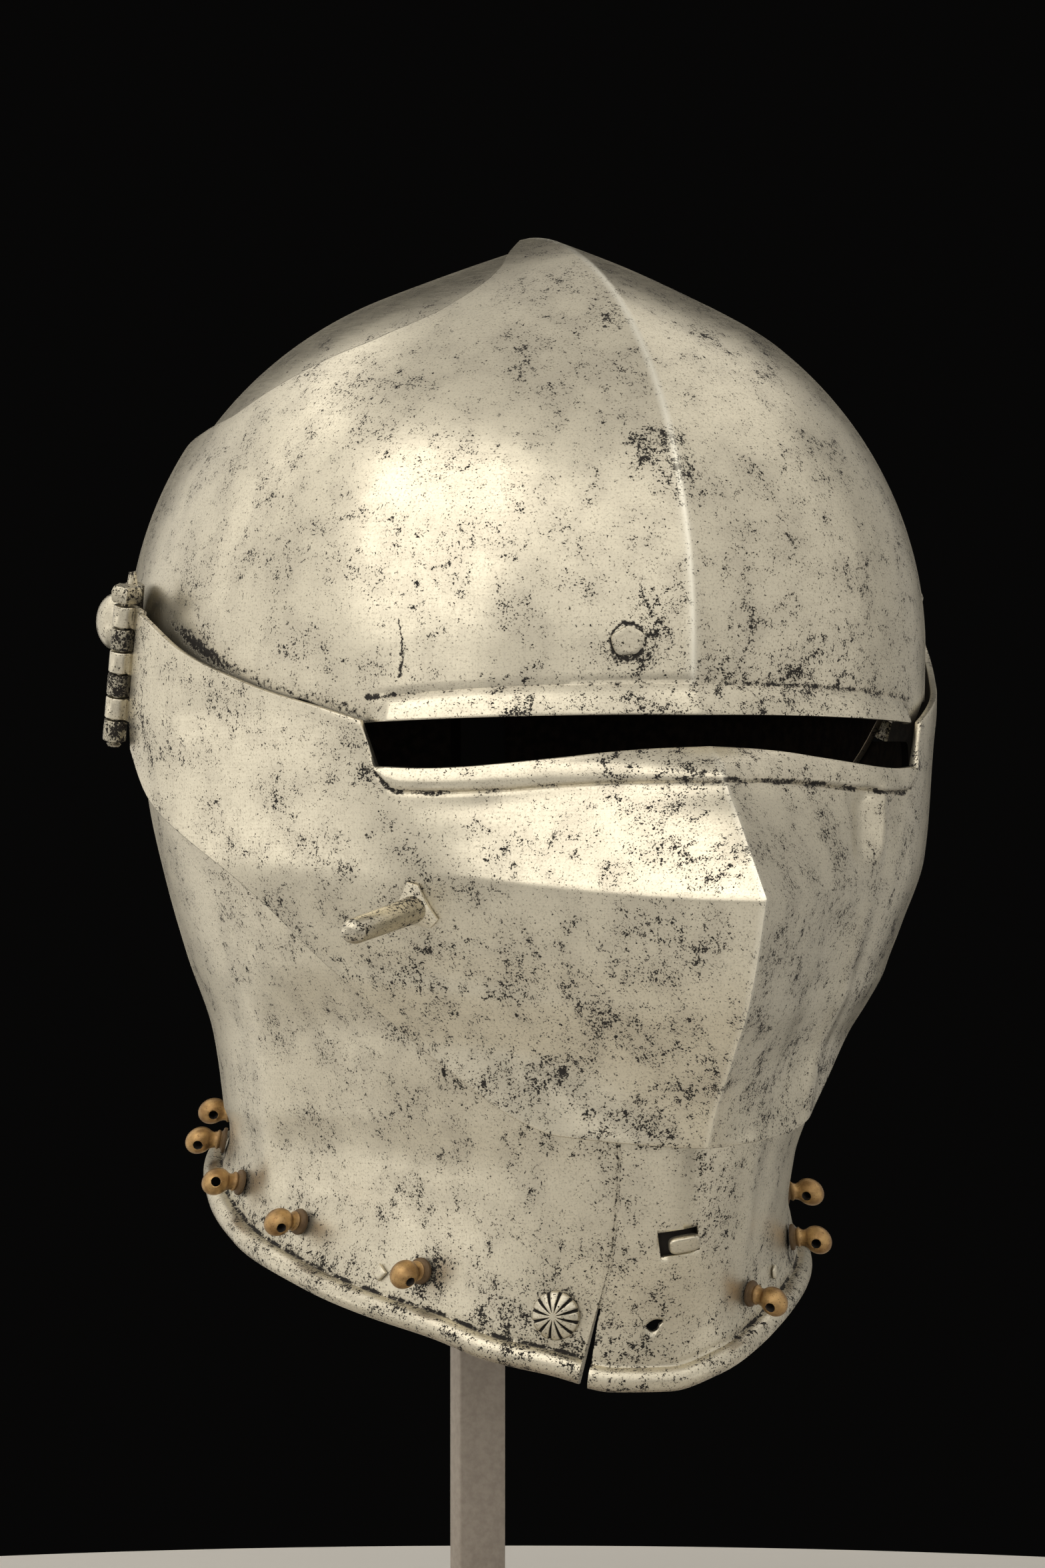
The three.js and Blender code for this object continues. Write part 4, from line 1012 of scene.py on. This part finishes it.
# Painted shade on the plates behind the closed visor's edges: shadow and dirt on the brow plate behind the
# flanks' upper edges, and a thin painted shadow line on the cheekpieces under the lower edge, with more pits
# near it
flank_turns = np.arange(-88, -47, 0.5)
flank_line = places(visor, flank_turns, smooth_column(FLANK_EDGE, 3, -flank_turns))
flank_line = flank_line * (0.95, 0.95, 1) + (0, 0, 1.5)
paint(brow, "dirt_and_shade", 0.7 * nearness(at_helmet(brow), flank_line, 6))
foot_turns = np.arange(-85, 85.1, 0.5)
foot_line = places(visor, foot_turns, smooth_column(VISOR_EDGE, 1, np.abs(foot_turns))) * (0.985, 0.985, 1)
for thing in (cheek_right, cheek_left):
    spots = at_helmet(thing)
    paint(thing, "dirt_and_shade", 0.6 * nearness(spots, foot_line, 2.6))
    paint(thing, "wear_and_shade", 0.3 * nearness(spots, foot_line, 12))

# A small ring is scratched beside the right hinge
around = np.arange(0, 9) * math.pi / 4
ring_mark = places(visor, -88.0 + 1.4 * np.cos(around), 13.1 + 2.8 * np.sin(around))
visor_steel = steel("visor_steel", density=0.3, cracks=cracks_through(ring_mark, *[0.22] * 8))
finish_plate(visor_plate, visor_steel, "visor", "visor_group")


# The hinges and pivot arms.
# Each side has a hinge of six knuckles, by turns on the visor and on the short arm, and the arm turns on
# its pivot. The forged pin has a faceted lump for a head, with a flat tongue behind it.
HINGE_X = 110.2
HINGE_TOP = Vector((HINGE_X, 1.2, 46.0))
HINGE_FOOT = Vector((HINGE_X, 10.2, 11.0))
KNUCKLES = 6
KNUCKLE_LENGTH = 5.5
KNUCKLE_RADIUS = 3.0
KNUCKLE_TAB = 6.5
LEAF_SIDE = 106.7
ARM_SIDE = 101.7
SMALL_GAP = 0.3
hinge_frame = frame_at(HINGE_FOOT, HINGE_TOP - HINGE_FOOT, (1, 0, 0))
hinge_length = (HINGE_TOP - HINGE_FOOT).length
pitch = hinge_length / KNUCKLES
forward_y = -1.0 if (hinge_frame.to_3x3() @ Vector((0, 1, 0))).y > 0 else 1.0
PIN_SHANK = [(0, -1.4), (1.5, -1.2), (1.9, -0.7), (1.25, -0.1), (1.25, hinge_length + 1),
             (0, hinge_length + 1)]
PIN_HEAD = [(0, 0.5), (3.1, 0.6), (3.7, 1.2), (3.9, 3.6), (3.3, 4.9), (0, 5.3)]
PIN_TONGUE = [(-1.1, 0), (1.1, 0), (1.3, 3.6), (0.7, 6.8), (-0.9, 7.0), (-1.2, 3)]

# topY, topZ, footY, footZ of the arm from the hinge back to its round end
ARM = [
    (4.7, 46.2, 13.6, 12.2),
    (8.4, 50, 15.6, 19),
    (12.5, 51.8, 17.8, 25.6),
    (16.5, 52.3, 20, 30.4),
    (21, 52, 23, 32.3),
    (26, 50.7, 27.2, 34.2),
    (29.6, 47.4, 30, 37.4),
    (31.2, 43.6, 31.2, 40.6),
]


def extruded(name, outline, thickness, soften=0.3):
    """A closed outline in X and Y, in millimetres, raised along Z with its edges rounded"""
    made = bmesh.new()
    low_ring = [made.verts.new((x, y, 0)) for x, y in outline]
    high_ring = [made.verts.new((x, y, thickness)) for x, y in outline]
    made.faces.new(low_ring[::-1])
    made.faces.new(high_ring)
    count = len(outline)
    for i in range(count):
        k = (i + 1) % count
        made.faces.new([low_ring[i], low_ring[k], high_ring[k], high_ring[i]])
    face_outward(made)
    rims = [e for e in made.edges if abs(e.verts[0].co.z - e.verts[1].co.z) < 1e-6]
    bmesh.ops.bevel(made, geom=rims, offset=soften, segments=2, profile=0.5, affect="EDGES",
                    clamp_overlap=True)
    return mesh_from(name, made)


def joined(name, meshes):
    """Several meshes as one"""
    made = bmesh.new()
    for mesh in meshes:
        made.from_mesh(mesh)
        bpy.data.meshes.remove(mesh)
    return mesh_from(name, made)


def knuckle(index, forward):
    """One rolled knuckle with its tab, on the wearer's left"""
    way = forward_y if forward else -forward_y
    inner = LEAF_SIDE - HINGE_X
    start = math.atan2(math.sqrt(KNUCKLE_RADIUS ** 2 - (inner + PLATE) ** 2), inner + PLATE)
    outline = []
    for j in range(29):
        turn = start - (start + math.pi) * j / 28
        outline.append((KNUCKLE_RADIUS * math.cos(turn), way * KNUCKLE_RADIUS * math.sin(turn)))
    outline += [(inner, way * KNUCKLE_TAB), (inner + PLATE, way * KNUCKLE_TAB)]
    mesh = extruded("knuckle", outline, KNUCKLE_LENGTH, 0.35)
    mesh.transform(Matrix.Translation((0, 0, pitch * index + SMALL_GAP)))
    mesh.transform(hinge_frame)
    return mesh


def arm_surface(depth):
    """Points of the wearer's left arm, which steps inward behind its knuckles"""
    at = np.linspace(0, len(ARM) - 1, 50)
    table = [(i, *row) for i, row in enumerate(ARM)]
    top_y, top_z, foot_y, foot_z = [smooth_column(table, k, at)[:, None] for k in (1, 2, 3, 4)]
    share = np.linspace(0, 1, 14)[None, :]
    side = LEAF_SIDE + (ARM_SIDE - LEAF_SIDE) * ease(0, 1.6, at)[:, None] + depth + 0 * share
    return np.stack([side, foot_y + (top_y - foot_y) * share, foot_z + (top_z - foot_z) * share], -1)


def mirror(mesh):
    """A mesh turned into its mirror image, with its faces still outward"""
    mesh.transform(Matrix.Diagonal((-1, 1, 1, 1)))
    mesh.flip_normals()


arm_steel = steel("arm_steel", light=0.7, density=1.5, roughness=0.4)
pin_steel = steel("pin_steel", light=0.88, density=0.8, roughness=0.4)
for side in ("left", "right"):
    leaves = joined("visor_knuckles_" + side, [knuckle(i, True) for i in (1, 3, 5)])
    leaf_arm = joined("arm_knuckles_" + side, [knuckle(i, False) for i in (0, 2, 4)])
    head = turned("head", [(r, hinge_length + z) for r, z in PIN_HEAD], 5, 0.06)
    pin = joined("pin_" + side, [turned("shank", PIN_SHANK, 20), head])
    pin.transform(hinge_frame)
    tail = extruded("tail", PIN_TONGUE, 1.5, 0.25)
    tail.transform(Matrix.Rotation(math.radians(90), 4, "X"))
    tail.transform(Matrix.Translation(HINGE_TOP + Vector((-2.4, 2.4, 1.6))))
    if side == "right":
        for mesh in (leaves, leaf_arm, pin, tail):
            mirror(mesh)
    leaves = piece("visor_knuckles_" + side, leaves)
    leaf_arm = piece("arm_knuckles_" + side, leaf_arm)
    pin = piece("hinge_pin_" + side + "_looks", joined("pin", [pin, tail]))
    outer, inner = arm_surface(PLATE), arm_surface(0.0)
    if side == "right":
        outer[..., 0] *= -1
        inner[..., 0] *= -1
    arm = shell("arm_plate_" + side, outer, inner)
    paint(pin, "dirt_and_shade", 0.5 * (at_helmet(pin)[:, 2] > 51.2))
    for thing, material in ((leaves, visor_steel), (leaf_arm, arm_steel), (pin, pin_steel), (arm, arm_steel)):
        thing.data.materials.append(material)
        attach(thing, "visor_group")
    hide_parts("arm_" + side)
    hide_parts("hinge_pin_" + side)


# The pivots.
# A big domed head each side, forged with its shank, which passes through arm, brow plate and skull.
PIVOT_Y = 21.0
PIVOT_Z = 42.0
PIVOT_RADIUS = 7.75
PIVOT_RISE = 6.6
PIVOT_SHANK = 2.6
PIVOT_INNER_END = 97.2
DOME_STEPS = 16
dome_seat = ARM_SIDE + PLATE + 2 * SMALL_GAP
dome = [(0, PIVOT_INNER_END), (PIVOT_SHANK, PIVOT_INNER_END), (PIVOT_SHANK, dome_seat),
        (PIVOT_RADIUS - 0.5, dome_seat), (PIVOT_RADIUS, dome_seat + 0.4)]
for j in range(1, DOME_STEPS):
    turn = math.pi / 2 * j / DOME_STEPS
    height = (PIVOT_RISE - 0.6) * math.sin(turn) ** 0.9
    dome.append((PIVOT_RADIUS * math.cos(turn), dome_seat + 0.6 + height))
dome.append((0, dome_seat + PIVOT_RISE))
pivot_steel = steel("pivot_steel", light=1.0, density=0.15, roughness=0.3)
for side, way in (("left", 1), ("right", -1)):
    mesh = turned("pivot", dome, 56, 0.006)
    mesh.transform(frame_at((0, PIVOT_Y, PIVOT_Z), (way, 0, 0), (0, 1, 0)))
    head = piece("pivot_head_" + side, mesh)
    spots = at_helmet(head)
    # Darker at the dome's foot, against the arm
    paint(head, "dirt_and_shade", 1 - ease(0.2, 2.2, np.abs(spots[:, 0]) - dome_seat))
    head.data.materials.append(pivot_steel)
    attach(head, "helmet")
    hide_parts("pivot_" + side)


# The lifting peg.
# A forged steel pin with a chamfered end, riveted through a small three-cornered washer. It raises the
# visor.
PEG_LENGTH = 27.0
PEG_RADIUS = 3.5
PEG_TIP = 3.2
PEG_FOOT = 2.2
PEG_AIM = Vector((-0.85, -0.48, -0.21)).normalized()
peg_frame = seat(visor, PEG_ANGLE, PEG_LEVEL, 0.45)
aim = peg_frame.to_3x3().inverted() @ PEG_AIM
reach = PEG_LENGTH * aim.z
peg_profile = [
    (0, 0), (PEG_RADIUS, 0), (PEG_RADIUS, PEG_FOOT), (PEG_RADIUS - 0.1, reach * 0.5),
    (PEG_TIP + 0.1, reach - 2.2), (PEG_TIP - 0.1, reach - 1.6), (PEG_TIP - 1.0, reach - 0.4),
    (PEG_TIP - 1.4, reach - 0.1), (0, reach),
]
peg_mesh = turned("peg", peg_profile, 40, 0.015)
for vert in peg_mesh.vertices:
    along = max(0.0, vert.co.z - PEG_FOOT)
    vert.co.x += along * aim.x / aim.z
    vert.co.y += along * aim.y / aim.z
peg_mesh.transform(peg_frame)
peg = piece("peg", peg_mesh)
spots = at_helmet(peg)
paint(peg, "wear_and_shade", nearness(spots, peg_foot, 20) * 0.6)
# Painted shadow at the peg's foot
paint(peg, "dirt_and_shade", nearness(spots, peg_foot, 6) * 0.7)
peg.data.materials.append(steel("peg_steel", light=0.95, density=0.5, roughness=0.26))

# directions of the washer's corners in degrees, then its outline round each as turns and distances
WASHER_CORNERS = (83, 203, 323)
WASHER_STEPS = ((-14, 6.5), (13, 7.0), (40, 4.6), (60, 4.3), (80, 4.5))
washer_outline = []
for corner in WASHER_CORNERS:
    for step, far in WASHER_STEPS:
        turn = math.radians(corner + step)
        washer_outline.append((far * math.cos(turn), far * math.sin(turn)))
washer_mesh = extruded("washer", washer_outline, 0.9, 0.2)
washer_mesh.transform(seat(visor, PEG_ANGLE, PEG_LEVEL, 0.15))
washer = piece("washer", washer_mesh)
# Painted shadow on the washer round the peg's foot
paint(washer, "dirt_and_shade", 0.85 * nearness(at_helmet(washer), peg_foot, 4.6))
washer.data.materials.append(steel("washer_steel", light=1.12, density=0.3, roughness=0.45))
for thing, node_name in ((peg, "lifting_peg"), (washer, "peg_washer")):
    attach(thing, "visor_group")
    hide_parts(node_name)


# The lacing studs.
# Cast brass, each a pierced ball on a ringed neck and a collar, riveted along the neck for the lining's
# laces. Most are bent down a little.
BALL = 3.65
BALL_STEPS = 24
BALL_FROM = -0.92
STUD_REACH = 6.9
STUD_HOLE = 1.25
STUD_DROOP = math.radians(11)
STUD_BEND = 1.3
stud_profile = [(0, 0), (3.3, 0), (3.45, 0.35), (3.3, 0.85), (2.5, 1.15), (2.2, 1.5), (2.55, 1.9),
                (2.6, 2.2), (2.2, 2.6), (2.15, 3.4)]
for j in range(1, BALL_STEPS + 1):
    turn = BALL_FROM + (math.pi / 2 - BALL_FROM) * j / BALL_STEPS
    stud_profile.append((BALL * math.cos(turn) if j < BALL_STEPS else 0, STUD_REACH + BALL * math.sin(turn)))
brass, tree, shader = new_material("aged_brass")
dirt_and_shade = painted(tree, "dirt_and_shade")
place = millimetres(tree)
cloud = noise(tree, place, 0.35, 4.0)
fine = noise(tree, place, 2.4, 4.0, 0.7)
tone = blend_colours(tree, rise(tree, cloud, 0.35, 0.68), (0.48, 0.31, 0.14, 1), (0.30, 0.18, 0.08, 1))
tone = blend_colours(tree, rise(tree, fine, 0.56, 0.7), tone, (0.12, 0.07, 0.035, 1))
feed(tree, shader, {
    "Base Color": blend_colours(tree, times(tree, dirt_and_shade, 0.85), tone, (0.05, 0.032, 0.02, 1)),
    "Roughness": weighed(tree, 0.3, (sums(tree, "ADD", fine, dirt_and_shade), 0.22), clamp=True),
    "Metallic": weighed(tree, 1.0, (dirt_and_shade, -0.6)),
    "Normal": bump(tree, fine, 0.06, 0.6),
})

# For the studs that the photograph shows, where the hole is on the ball: to the right and up, in ball radii
SEEN_HOLES = {
    1: (0.1, -0.3), 2: (-0.1, -0.35), 3: (0.02, 0.03), 4: (0.25, -0.4), 5: (0.45, -0.5), 6: (-0.3, -0.4),
    7: (-0.15, -0.25), 8: (-0.3, -0.3),
}
for number, (degrees, distance) in enumerate(STUDS, 1):
    place_at = seat_by_rim(degrees, distance, lap_at(degrees) + 0.75)
    down = (place_at.to_3x3().inverted() @ Vector((0, 0, -1))).y
    mesh = turned("stud", stud_profile, 40)
    for vert in mesh.vertices:
        bend = STUD_DROOP * min(max((vert.co.z - STUD_BEND) / 2.0, 0), 1)
        vert.co.y += math.copysign(math.tan(bend), down) * max(vert.co.z - STUD_BEND, 0)
    heights = np.array([vert.co.z for vert in mesh.vertices])
    mesh.transform(place_at)
    stud = piece(f"lacing_stud_{number}", mesh)
    # Darker at the stud's foot, against the plate
    paint(stud, "dirt_and_shade", 1 - ease(0.5, 3.2, heights))
    sag = math.copysign(math.tan(STUD_DROOP), down) * (STUD_REACH - STUD_BEND)
    centre = place_at @ Vector((0, sag, STUD_REACH))
    bore_way = place_at.to_3x3() @ Vector((1, 0, 0.2))
    if number in SEEN_HOLES:
        right, up = SEEN_HOLES[number]
        bore_way = to_right * right + Vector((0, 0, up)) + toward_camera * math.sqrt(1 - right ** 2 - up ** 2)
    bore_mesh = turned("bore", [(0, -9), (STUD_HOLE, -9), (STUD_HOLE, 9), (0, 9)], 20)
    bore_mesh.transform(frame_at(centre + bore_way.normalized() * 6.5, bore_way, (0, 0, 1)))
    carve(stud, piece("stud_bore", bore_mesh))
    stud.data.materials.clear()
    stud.data.materials.append(brass)
    stud.data.materials.append(blackened)
    middle = HELMET_AT + centre * MM
    for face in stud.data.polygons:
        away = face.center - middle
        sideways = away - bore_way.normalized() * away.dot(bore_way.normalized())
        face.material_index = int(sideways.length < STUD_HOLE * MM * 1.02 and away.length < BALL * MM * 0.99)
    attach(stud, "helmet")
    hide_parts(f"stud_{number}")


# Rivets, plugs and the catch.
# The chin's rosette rivet has a low dome cut with twelve chiselled rays. Old holes are closed by small
# hammered plugs. The spring catch of the two cheekpieces stands in its slot.
ROSETTE_RADIUS = 6.2
ROSETTE_RISE = 1.9
ROSETTE_BASE = 0.9
ROSETTE_RAYS = 12
STEPS_PER_RAY = 10


def rosette_mesh():
    """A low dome on a flat base, cut with rays from near its middle to its edge"""
    rings, around = 22, ROSETTE_RAYS * STEPS_PER_RAY
    made = bmesh.new()
    darkening = made.verts.layers.float.new("dirt_and_shade")
    grid = []
    for i in range(1, rings + 1):
        r = ROSETTE_RADIUS * i / rings
        share = i / rings
        ring = []
        for k in range(around):
            turn = 2 * math.pi * k / around
            across = abs(((k / STEPS_PER_RAY) % 1) - 0.5) * 2
            cut = 0.75 * max(0.0, 1 - across / 0.42) * min(1, share * 2.2) * (1 if share > 0.16 else 0)
            crown = ROSETTE_RISE * (1 - share ** 2.4) ** 0.8 + ROSETTE_BASE
            r_here = r * (1 - 0.03 * max(0.0, 1 - across / 0.5) * (share > 0.9))
            vert = made.verts.new((r_here * math.cos(turn), r_here * math.sin(turn), crown - cut))
            # The rays' cuts are painted darker the deeper they are
            vert[darkening] = min(1.0, 2.2 * cut)
            ring.append(vert)
        grid.append(ring)
    centre = made.verts.new((0, 0, ROSETTE_RISE + ROSETTE_BASE))
    grid.append([made.verts.new((v.co.x, v.co.y, 0)) for v in grid[-1]])
    base_centre = made.verts.new((0, 0, 0))
    for k in range(around):
        n = (k + 1) % around
        made.faces.new([centre, grid[0][k], grid[0][n]])
        for i in range(rings):
            made.faces.new([grid[i][k], grid[i + 1][k], grid[i + 1][n], grid[i][n]])
        made.faces.new([base_centre, grid[-1][n], grid[-1][k]])
    return mesh_from("rosette", made)


def rounded_block(half, squareness):
    """A block with rounded faces and corners"""
    made = bmesh.new()
    bmesh.ops.create_uvsphere(made, u_segments=56, v_segments=28, radius=1.0)
    for vert in made.verts:
        for axis in range(3):
            value = vert.co[axis]
            vert.co[axis] = math.copysign(abs(value) ** squareness, value) * half[axis]
    return mesh_from("block", made)


rivet_steel = steel("rivet_steel", light=0.92, density=0.35, roughness=0.34)
rosette = rosette_mesh()
rosette.transform(seat_by_rim(ROSETTE_TURN, ROSETTE_UP, 0.6))
catch = rounded_block((4.0, 2.3, 2.0), 0.5)
for vert in catch.vertices:
    vert.co.z += 0.35 * vert.co.y - 0.06 * vert.co.x
catch.transform(Matrix.Rotation(CATCH_TILT, 4, "Z"))
catch.transform(seat_by_rim(CATCH_TURN, CATCH_UP, 0.1) @ Matrix.Translation((1.2, -0.2, 2.4)))
small_things = [(rosette, "chin_rosette"), (catch, "chin_catch")]
for node_name, degrees, distance, radius, sides in NECK_PLUGS + NECK_RIVETS:
    plug_profile = [(0, 0), (radius, 0), (radius * 0.97, 0.35), (radius * 0.8, 0.6), (0, 0.8)]
    mesh = turned("plug", plug_profile, sides, 0.05)
    mesh.transform(seat_by_rim(degrees, distance, lap_at(degrees) + 0.4))
    small_things.append((mesh, node_name))
plug_profile = [(0, 0), (3.9, 0), (3.8, 0.25), (3.2, 0.42), (2.4, 0.3), (1.2, 0.42), (0, 0.36)]
mesh = turned("plug", plug_profile, 40, 0.09)
mesh.transform(seat(helm, math.radians(BROW_PLUG_TURN), BROW_PLUG_ARC, BROW_TOP + 0.3))
small_things.append((mesh, "brow_plug"))
for mesh, node_name in small_things:
    thing = piece(node_name + "_looks", mesh)
    thing.data.materials.append(rivet_steel)
    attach(thing, "helmet")
    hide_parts(node_name)


# The display stand.
# A flat steel post on a square steel base, both painted a matte warm grey, and a felt-faced block inside
# the bowl that carries the helmet. Inside the helmet the post is painted black, as painted shade, so that it
# doesn't show.
SHADE_FROM = 150.0


def slab(name, node_name, soften, corner=0.0):
    """A box the size of a CAD node, with its edges rounded"""
    low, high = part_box(node_name)
    made = bmesh.new()
    size = high - low
    shape = Matrix.Translation((low + high) / 2) @ Matrix.Diagonal((*size, 1))
    bmesh.ops.create_cube(made, size=1.0, matrix=shape)
    if corner:
        upright = [e for e in made.edges if abs(e.verts[0].co.z - e.verts[1].co.z) > size.z / 2]
        bmesh.ops.bevel(made, geom=upright, offset=corner, segments=6, profile=0.5, affect="EDGES")
    sharp = [e for e in made.edges if len(e.link_faces) == 2 and e.calc_face_angle() > 0.5]
    bmesh.ops.bevel(made, geom=sharp, offset=soften, segments=3, profile=0.5, affect="EDGES",
                    clamp_overlap=True)
    mesh = mesh_from(name, made)
    mesh.shade_smooth()
    mesh.set_sharp_from_angle(angle=math.radians(40))
    thing = bpy.data.objects.new(name, mesh)
    bpy.context.scene.collection.objects.link(thing)
    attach(thing, "helmet")
    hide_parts(node_name)
    return thing


paint_grey, tree, shader = new_material("stand_paint")
place = millimetres(tree)
mottle = noise(tree, place, 0.5, 5.0, 0.65)
tooth = noise(tree, place, 3.0, 3.0)
tone = blend_colours(tree, rise(tree, mottle, 0.3, 0.7), (0.35, 0.305, 0.262, 1), (0.43, 0.38, 0.33, 1))
height = node(tree, "SeparateXYZ", {"Vector": place}).outputs["Z"]
# Painted shade: black from 150 mm above the table up, inside the helmet
tone = blend_colours(tree, rise(tree, height, SHADE_FROM, SHADE_FROM + 4), tone, (0.006, 0.006, 0.006, 1))
feed(tree, shader, {"Base Color": tone, "Normal": bump(tree, tooth, 0.08, 0.7), "Roughness": 0.7})
for name, soften, corner in (("post", 0.0006, 0), ("base", 0.0012, 0.006)):
    thing = slab(name, "stand_" + name, soften, corner)
    thing.data.materials.append(paint_grey)

felt, tree, shader = new_material("felt")
fuzz = noise(tree, millimetres(tree), 2.0, 6.0)
tone = blend_colours(tree, fuzz, (0.05, 0.045, 0.04, 1), (0.14, 0.125, 0.11, 1))
feed(tree, shader, {"Base Color": tone, "Normal": bump(tree, fuzz, 0.3), "Roughness": 0.95})
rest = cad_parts["crown_rest"]
rest.data.materials.clear()
rest.data.materials.append(felt)


# The studio.
# A round pale table top, a large window-like softbox to the left of the camera, and dimmer ones round about,
# with a dark gap behind the helmet that draws its dark outline.
FLOOR_RADIUS = 360.0
floor_profile = [(0, -12), (FLOOR_RADIUS - 8, -12), (FLOOR_RADIUS, -8), (FLOOR_RADIUS, -2),
                 (FLOOR_RADIUS - 2, 0), (0, 0)]
floor_mesh = turned("table", floor_profile, 128)
floor_mesh.transform(Matrix.Translation((0, 0.027, 0)) @ Matrix.Diagonal((MM, MM, MM, 1)))
table = bpy.data.objects.new("table", floor_mesh)
bpy.context.scene.collection.objects.link(table)
pale, tree, shader = new_material("pale_floor")
feed(tree, shader, {"Base Color": (0.62, 0.60, 0.57, 1), "Roughness": 0.8})
floor_mesh.materials.append(pale)


def softbox(name, turn, lift, distance, width, height, radiance, colour=(1.0, 0.955, 0.87)):
    """A soft light, its turn to the right of the camera and its lift above the level in degrees"""
    a, e = math.radians(turn), math.radians(lift)
    level_way = toward_camera * math.cos(a) + to_right * math.sin(a)
    direction = level_way * math.cos(e) + Vector((0, 0, math.sin(e)))
    data = bpy.data.lights.new(name, "AREA")
    data.shape = "RECTANGLE"
    data.size = width
    data.size_y = height
    data.energy = radiance * math.pi * width * height
    data.color = colour
    light = bpy.data.objects.new(name, data)
    light.location = HELMET_AT + direction * distance
    light.rotation_euler = (-direction).to_track_quat("-Z", "Y").to_euler()
    light.visible_camera = False
    bpy.context.scene.collection.objects.link(light)


softbox("key", -35, 30, 1.5, 1.25, 1.8, 1.72)
softbox("front", -1, 26, 1.9, 0.75, 2.2, 0.78)
softbox("fill", 29, 24, 1.7, 1.25, 1.9, 1.02)
softbox("right_wrap", 80, 18, 1.7, 1.8, 2.4, 0.66)
softbox("right_back", 130, 14, 1.7, 1.4, 2.9, 0.4)
softbox("left_wrap", -84, 18, 1.7, 1.6, 2.4, 0.88)
softbox("left_back", -128, 14, 1.7, 1.3, 2.9, 0.85)
softbox("overhead", 180, 84, 1.7, 3.0, 2.9, 0.62)
softbox("low_front", -10, -26, 1.5, 1.5, 1.1, 0.62)
softbox("low_left", -76, -26, 1.5, 2.0, 1.1, 0.6)
softbox("low_right", 70, -26, 1.5, 2.1, 0.9, 0.5)

world = bpy.data.worlds.new("studio")
world.use_nodes = True
world.node_tree.nodes["Background"].inputs["Color"].default_value = (0.0022, 0.0021, 0.002, 1)
bpy.context.scene.world = world
